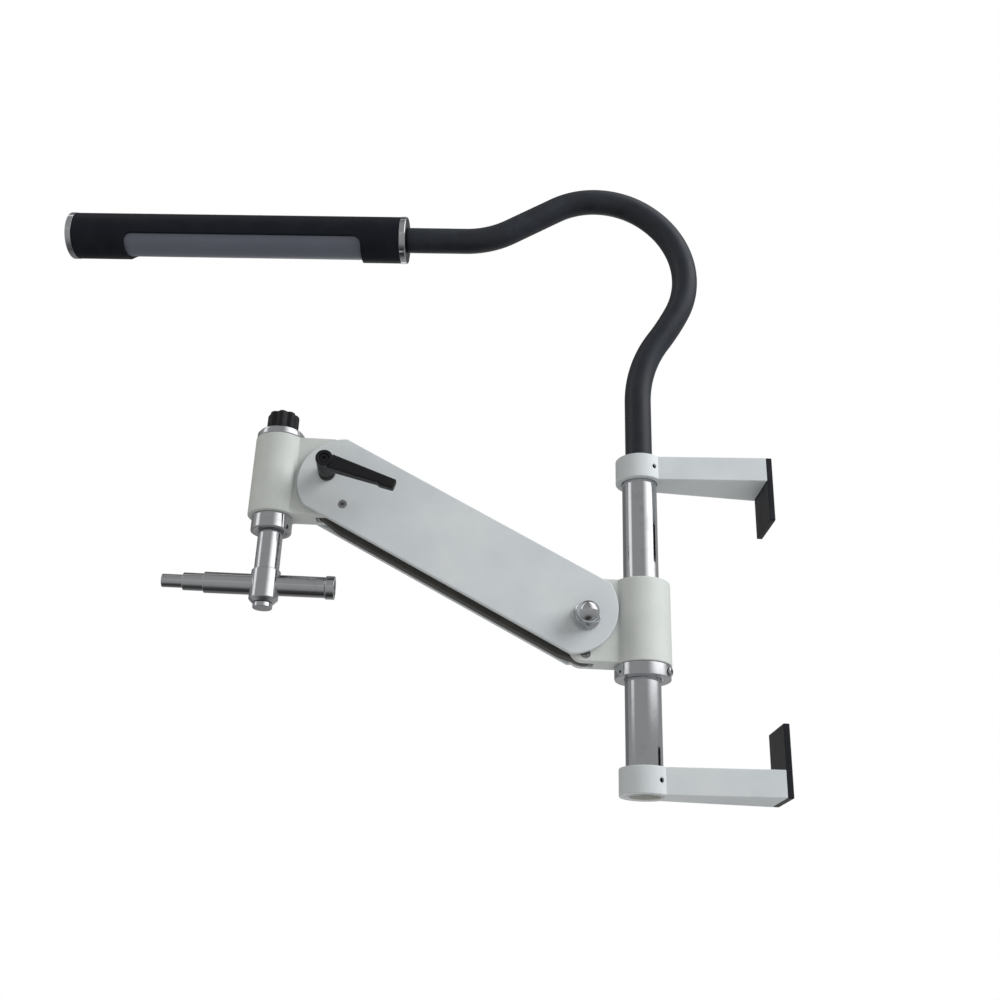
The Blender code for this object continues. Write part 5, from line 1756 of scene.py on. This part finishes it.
@dataclass
class Rod(Assembly):
    """The rod through the cross head: its sleeve, its stepped shaft and its end cap."""

    sleeve_radius: float = 0.0109
    sleeve_length: float = 0.123
    sleeve_edge: float = 0.0007
    shaft_radius: float = 0.0091
    shaft_edge: float = 0.0008
    step_length: float = 0.0213
    tip_radius: float = 0.0068
    tip_length: float = 0.0215
    cap_radius: float = 0.0122
    cap_length: float = 0.0092
    cap_edge: float = 0.0006
    cap_shoulder: float = 0.0008
    cap_recess_radius: float = 0.0085
    cap_recess_depth: float = 0.0025
    shaft_in_cap: float = 0.0045

    def build(self) -> None:
        """Make the three pieces."""
        rod = self.layout.rod
        half = self.sleeve_length / 2
        bore = self.shaft_radius + GAP
        sleeve = tube(self.sleeve_radius, bore, -half, half)
        self.turn("rod_sleeve", rod, CHROME, sleeve, self.sleeve_edge, True, FINE)
        step_end = half + self.step_length
        tip_end = step_end + self.tip_length
        back = -half - GAP - self.shaft_in_cap
        shaft = stepped(
            (0, tip_end),
            (self.tip_radius, tip_end, step_end),
            (self.shaft_radius, step_end, back),
            (0, back),
        )
        self.turn("stepped_shaft", rod, CHROME, shaft, self.shaft_edge)
        top = -half - GAP
        low = top - self.cap_length
        cap = stepped(
            (0, back - GAP),
            (bore, back - GAP, top),
            (self.cap_radius - self.cap_edge, top),
            (self.cap_radius, top - self.cap_shoulder, low),
            (self.cap_recess_radius, low, low + self.cap_recess_depth),
            (0, low + self.cap_recess_depth),
        )
        self.turn("rod_end_cap", rod, CHROME, cap, self.cap_edge)


class NeckLine:
    """The gooseneck's centre line: arcs laid end to end from the post's top to the lamp."""

    slices: int = 200
    foot: float = 0.3613
    arcs: tuple[tuple[float, float, float], ...] = (
        (0.070, 0, 0),
        (0.085, math.radians(34), 0),
        (0.045, math.radians(-8), 0),
        (0.155, math.radians(-84), 0),
        (0.108, math.radians(-65), 0),
        (0.064, 0, 0),
        (0.055, math.radians(30), 0),
        (0.068, math.radians(4), math.radians(-5.5)),
    )

    def __init__(self) -> None:
        """Lay the arcs, each a length, a turn in the arm's plane and a turn about the vertical."""
        point = Vector((0, 0, self.foot))
        self.stations = [(0.0, point, Vector((0, 0, 1)))]
        along, lean, yaw = 0.0, 0.0, 0.0
        for length, turn, side in self.arcs:
            step = length / self.slices
            for index in range(self.slices):
                middle = (index + 0.5) / self.slices
                point = point + self.heading(lean + turn * middle, yaw + side * middle) * step
                along += step
                done = (index + 1) / self.slices
                here = self.heading(lean + turn * done, yaw + side * done)
                self.stations.append((along, point, here))
            lean += turn
            yaw += side
        self.length = along

    @staticmethod
    def heading(lean: float, yaw: float) -> Vector:
        """The direction that leans from straight up towards +X, then turns about the vertical."""
        across = math.sin(lean)
        return Vector((across * math.cos(yaw), across * math.sin(yaw), math.cos(lean)))

    def at(self, along: float) -> tuple[Vector, Vector]:
        """The place and the direction at a length.

        Args:
            along: The length from the foot.

        Returns:
            The place and the direction there.
        """
        for (low, start, first), (high, stop, last) in zip(self.stations, self.stations[1:]):
            if along <= high:
                share = (along - low) / (high - low)
                return start.lerp(stop, share), first.lerp(last, share).normalized()
        return self.stations[-1][1], self.stations[-1][2]


@dataclass
class Gooseneck(Assembly):
    """The rubber sleeve in four skins laid along the neck's line, each left fixed where it lies."""

    line: NeckLine
    radius: float = 0.0145
    bore: float = 0.0105
    lip: float = 0.0008
    lip_depth: float = 0.006
    spacing: float = 0.0026
    around: int = 56
    reach: float = 0.030
    bend_shares: tuple[float, ...] = (0.06, 0.25, 0.60, 0.91)
    seams: tuple[float, ...] = (0.100, 0.276, 0.490)
    bodies: tuple[str, ...] = ("wall_frame", "neck_2", "neck_3", "neck_4", "neck_5")

    def build(self) -> None:
        """Make the skins, and give the core inside them its finish."""
        length = self.line.length
        ends = [GAP, *self.seams, length - GAP]
        across = Vector((0, 1, 0))
        post = self.layout.post
        for index, share in enumerate(self.bend_shares):
            mesh, across = self.skin(ends[index], ends[index + 1], across)
            mesh.transform(post)
            piece = self.bench.make(f"neck_skin_{index + 1}", mesh, RUBBER)
            bend = share * length
            low, high = max(0.0, bend - self.reach), bend + self.reach
            start, end = (tuple(post @ self.line.at(along)[0]) for along in (low, high))
            first, second = self.bodies[index : index + 2]
            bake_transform(piece)
            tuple(start)
            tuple(end)
            covered = [f"neck_sleeve_{index + 1}"]
            if index == len(self.seams):
                covered.append(f"neck_sleeve_{index + 2}")
            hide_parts(*covered)
            LOG.info("%s: bends from %s to %s", piece.name, first, second)
        self.bench.repaint(STEEL, *(f"neck_core_{number}" for number in range(1, 6)))

    def skin(self, start: float, stop: float, across: Vector) -> tuple[bpy.types.Mesh, Vector]:
        """One length of the sleeve.

        Args:
            start: Where it starts along the line.
            stop: Where it ends.
            across: The side that its first point lies on.

        Returns:
            The mesh, and the side that the next length starts on.
        """
        count = math.ceil((stop - start) / self.spacing)
        places = [start + (stop - start) * index / count for index in range(count + 1)]
        stations = [(along, self.radius) for along in places]
        if start == GAP:
            stations[:1] = self.lip_stations(start, 1)
        if stop > self.seams[-1] + self.reach:
            stations[-1:] = reversed(self.lip_stations(stop, -1))
        loops = []
        for along, radius in stations:
            point, direction = self.line.at(along)
            across = (across - direction * across.dot(direction)).normalized()
            other = direction.cross(across)
            loops.append([point + across * x + other * y for x, y in circle(radius, self.around)])
        form = Form()
        form.skin(loops)
        return form.mesh(UPRIGHT), across

    def lip_stations(self, end: float, way: int) -> list[Point]:
        """Where the sleeve rounds over at an open end.

        Args:
            end: The end along the line.
            way: 1 where the sleeve goes on upwards of it, -1 where it came from below.

        Returns:
            Places and radii, from the bore outwards.
        """
        lip = eased(self.lip, EDGE_STEPS)
        stations = [(end + way * self.lip_depth, self.bore), (end + way * self.lip, self.bore)]
        stations += [(end + way * inner, self.bore + wider) for inner, wider in lip]
        return stations + [(end + way * outer, self.radius - short) for short, outer in lip]


@dataclass
class Lamp(Assembly):
    """The tubular lamp: shell with its window, chromed rings, caps and diffuser."""

    line: NeckLine
    length: float = 0.401
    radius: float = 0.0267
    wall: float = 0.0032
    ring_radius: float = 0.0271
    ring_length: float = 0.007
    cap_radius: float = 0.0255
    cap_thickness: float = 0.004
    diffuser_radius: float = 0.0232
    diffuser_bore: float = 0.0216
    window_start: float = 0.052
    window_end_margin: float = 0.069
    window_half_angle: float = math.radians(67)
    window_corner: float = 0.009
    window_corner_points: int = 14
    core_hole: float = 0.0093
    fine_edge: float = 0.0004
    ring_chamfer: float = 0.0008
    cap_edge: float = 0.0006
    cap_rim: float = 0.004
    dish: float = 0.0006

    def place(self) -> Matrix:
        """The lamp's near end.

        Returns:
            Its place, with +Z along the lamp and +X through its window.
        """
        end, direction = self.line.at(self.line.length)
        down = Vector((0, 0, -1))
        window = (down - direction * down.dot(direction)).normalized()
        turn = Matrix((window, direction.cross(window), direction)).transposed().to_4x4()
        return self.layout.post @ Matrix.Translation(end) @ turn

    def build(self) -> None:
        """Make every piece of it."""
        lamp = self.place()
        self.build_shell(lamp)
        inset = self.cap_thickness + GAP
        section = tube(self.diffuser_radius, self.diffuser_bore, inset, self.length - inset)
        self.turn("lamp_diffuser", lamp, FROSTED, section, self.fine_edge, True, FINE)
        self.build_end("near", lamp)
        self.build_end("far", lamp @ shift(z=self.length) @ BACKWARDS)
        self.bench.repaint(WHITE_PLASTIC, "lamp_socket", "lamp_reflector")
        self.bench.repaint(GLASS, "lamp_tube")
        self.bench.repaint(STEEL, "neck_end_nut")

    def build_shell(self, lamp: Matrix) -> None:
        """The shell with its window.

        Args:
            lamp: Where the lamp lies.
        """
        low = self.ring_length + GAP
        section = tube(self.radius, self.radius - self.wall, low, self.length - low)
        shell = Form().lathe(soften(section, self.fine_edge, True), True, FINE).mesh(lamp)
        outside = self.radius + OVERRUN
        corner, count = self.window_corner, self.window_corner_points
        height = self.radius * math.cos(self.window_half_angle) + corner
        first, last = self.window_start, self.length - self.window_end_margin
        near = arc((first + corner, height), corner, math.pi, 3 * QUARTER, count)
        far = arc((last - corner, height), corner, -QUARTER, 0, count)
        outline = [(first, outside), *near, *far, (last, outside)]
        along = Matrix(((0, 1, 0, 0), (0, 0, 1, 0), (1, 0, 0, 0), (0, 0, 0, 1)))
        window = Form().slab([outline], -outside, outside, 0).mesh(lamp @ along)
        self.bench.fit("lamp_shell", carve(shell, window), SHELL_BLACK)

    def build_end(self, end: str, place: Matrix) -> None:
        """The chromed ring and the cap at one end.

        Args:
            end: Which end.
            place: Its outer face, with +Z into the lamp.
        """
        inner = self.diffuser_radius + GAP
        rim = self.cap_radius + GAP
        shelf = self.cap_thickness + GAP
        ring = stepped(
            (inner, self.ring_length),
            (self.ring_radius, self.ring_length, self.ring_chamfer),
            (self.ring_radius - self.ring_chamfer, 0),
            (rim, 0, shelf),
            (inner, shelf),
        )
        self.turn(f"lamp_{end}_ring", place, CHROME, ring, self.fine_edge, True, FINE)
        radius, thick = self.cap_radius, self.cap_thickness
        if end == "near":
            section = tube(radius, self.core_hole, 0, thick)
            self.turn("lamp_near_cap", place, PLASTIC, section, self.ring_chamfer, True)
            return
        flat = radius - self.cap_rim
        section = [(0, thick), (radius, thick), (radius, 0), (flat, 0)]
        section += [(flat - self.dish, self.dish), (0, self.dish)]
        self.turn("lamp_far_cap", place, PLASTIC, section, self.cap_edge)


# ---------------------------------------------------------------------------------------------
# Studio


@dataclass(frozen=True)
class Panel:
    """A soft light panel that faces the stand; its azimuth is from the front towards +X."""

    name: str
    azimuth: float
    elevation: float
    width: float
    height: float
    power: float
    colour: Colour


@dataclass
class Studio:
    """Camera, floor, white surroundings and soft lights."""

    bench: Bench
    camera_place: Colour = (-0.33649, -1.15391, -0.23010)
    yaw: float = math.radians(-2.40)
    pitch: float = math.radians(23.40)
    roll: float = math.radians(-1.86)
    focal_pixels: float = 1181.94
    image_pixels: float = 1000.0
    sensor: float = 36.0  # millimetres
    sight: float = 20.0
    middle: Colour = (-0.33, 0.0, 0.25)
    distance: float = 2.2
    floor_height: float = -0.62
    floor_radius: float = 4.0
    ambient: Colour = (0.40, 0.398, 0.394)
    behind: Point = (0.965, 0.99)
    room_tones: tuple[Point, ...] = (
        (0.0, 0.045),
        (0.03, 0.08),
        (0.065, 0.18),
        (0.10, 0.27),
        (0.20, 0.35),
        (0.44, 0.38),
        (0.52, 0.46),
        (0.60, 0.35),
        (0.70, 0.35),
        (0.91, 0.33),
        (0.97, 0.25),
        (1.0, 0.17),
    )
    right_box: tuple[float, ...] = (0.15, 1.00, 1.30, 1.95)  # azimuths in radians
    right_fade: Point = (0.21, 0.29)
    right_glow: float = 1.5
    left_box: tuple[float, ...] = (-1.68, -1.44, -1.30, -1.06)
    left_fade: Point = (0.19, 0.29)
    left_glow: float = 0.80
    dark_side: tuple[float, ...] = (-3.10, -2.90, -2.15, -1.95)
    dark_share: float = 0.45
    panels: tuple[Panel, ...] = (
        Panel("key_panel", math.radians(58), math.radians(28), 1.2, 1.7, 45.0, (0.97, 0.985, 1.0)),
        Panel("side_panel", math.radians(-86), math.radians(22), 1.7, 1.8, 8.0, (1.0, 0.97, 0.86)),
    )

    def build(self) -> None:
        """Set the whole studio up."""
        self.build_camera()
        self.build_world()
        self.build_floor()
        for panel in self.panels:
            self.build_panel(panel)
        bpy.context.scene.view_settings.view_transform = "Standard"

    @staticmethod
    def stand(name: str, data: bpy.types.ID) -> bpy.types.Object:
        """Put an object in the scene.

        Args:
            name: Its name.
            data: Its mesh, camera or light.

        Returns:
            The object.
        """
        made = bpy.data.objects.new(name, data)
        bpy.context.scene.collection.objects.link(made)
        return made

    def build_camera(self) -> None:
        """The camera at the photograph's viewpoint."""
        turns = ((self.yaw, "Z"), (self.pitch, "X"), (self.roll, "Y"))
        yaw, pitch, roll = (Matrix.Rotation(angle, 3, axis) for angle, axis in turns)
        right, forward, up = (yaw @ pitch @ roll).transposed()
        axes = Matrix((right, up, -forward)).transposed().to_4x4()
        data = bpy.data.cameras.new("camera")
        data.sensor_width = self.sensor
        data.lens = self.sensor * self.focal_pixels / self.image_pixels
        data.clip_end = self.sight
        camera = self.stand("camera", data)
        camera.matrix_world = Matrix.Translation(self.camera_place) @ axes
        bpy.context.scene.camera = camera

    def build_world(self) -> None:
        """White behind the stand for camera, glossy and transmission rays, and grey round it."""
        world = bpy.data.worlds.new("studio")
        world.use_nodes = True
        bpy.context.scene.world = world
        graph = Graph(world.node_tree)
        way = graph.add("ShaderNodeTexCoord", {}, {}, "Generated")
        back = graph.add("ShaderNodeSeparateXYZ", {}, {0: way}, "Y")
        across, up = back.output("X"), back.output("Z")
        azimuth = across.math("ARCTAN2", across, -1 * back)
        seen = graph.add("ShaderNodeLightPath", {}, {}, "Is Camera Ray")
        glossy = seen.output("Is Glossy Ray")
        white = seen.most(seen.output("Is Transmission Ray"))
        white = white.most(glossy * back.above(*self.behind))
        tone = graph.add("ShaderNodeValToRGB", {"stops": self.room_tones}, {0: up * 0.5 + 0.5})
        room = tone * (1 - azimuth.within(*self.dark_side) * self.dark_share)
        right = azimuth.within(*self.right_box) * up.above(*self.right_fade)
        left = azimuth.within(*self.left_box) * up.above(*self.left_fade)
        room = room + right * self.right_glow + left * self.left_glow
        shown = graph.mix(white, graph.mix(glossy, self.ambient, room), (1.0, 1.0, 1.0))
        backdrop = graph.add("ShaderNodeBackground", {}, {"Color": shown, "Strength": 1.0})
        graph.add("ShaderNodeOutputWorld", {}, {"Surface": backdrop})

    def build_floor(self) -> None:
        """A plain pale floor under the stand."""
        form = Form()
        form.skin(turned([(0, 0), (0.5 * self.floor_radius, 0), (self.floor_radius, 0)], ROUND))
        mesh = form.mesh(shift(self.middle[0], 0, self.floor_height))
        mesh.materials.append(self.bench.material(PALE_FLOOR))
        floor = self.stand("floor", mesh)
        floor.visible_glossy = False

    def build_panel(self, panel: Panel) -> None:
        """One soft light.

        Args:
            panel: Its place, size and power.
        """
        data = bpy.data.lights.new(panel.name, "AREA")
        data.shape = "RECTANGLE"
        data.size = panel.width
        data.size_y = panel.height
        data.energy = panel.power
        data.color = panel.colour
        light = self.stand(panel.name, data)
        flat, high = math.cos(panel.elevation), math.sin(panel.elevation)
        away = Vector((flat * math.sin(panel.azimuth), -flat * math.cos(panel.azimuth), high))
        light.location = Vector(self.middle) + away * self.distance
        light.rotation_euler = away.to_track_quat("Z", "Y").to_euler()
        light.visible_camera = False
        light.visible_glossy = False


def main() -> None:
    """Build the studio and every sub-assembly."""
    logging.basicConfig(level=logging.INFO, format="%(message)s")
    bench = Bench()
    layout = Layout()
    line = NeckLine()
    Studio(bench).build()
    WallFrame(bench, layout).build()
    HeightCollar(bench, layout).build()
    ForkBlock(
        bench,
        layout,
        layout.swing @ Matrix.Rotation(math.pi, 4, "Z"),
        ("swing_block", "swing_bush", "rear_link_pin"),
        radius=0.0298,
        bore=0.0210,
        bush_outer=0.0207,
        bush_inner=0.0187,
        pivot_reach=layout.pivot_reach,
    ).build()
    ForkBlock(
        bench,
        layout,
        layout.head,
        ("head_block", "head_bush", "front_link_pin"),
        radius=0.0260,
        bore=0.0143,
        bush_outer=0.0140,
        bush_inner=0.0103,
        pivot_reach=layout.head_reach,
    ).build()
    for kind in (Arm, Link, Lever, Head, Rod):
        kind(bench, layout).build()
    Gooseneck(bench, layout, line).build()
    Lamp(bench, layout, line).build()


if __name__ == "__main__":
    main()
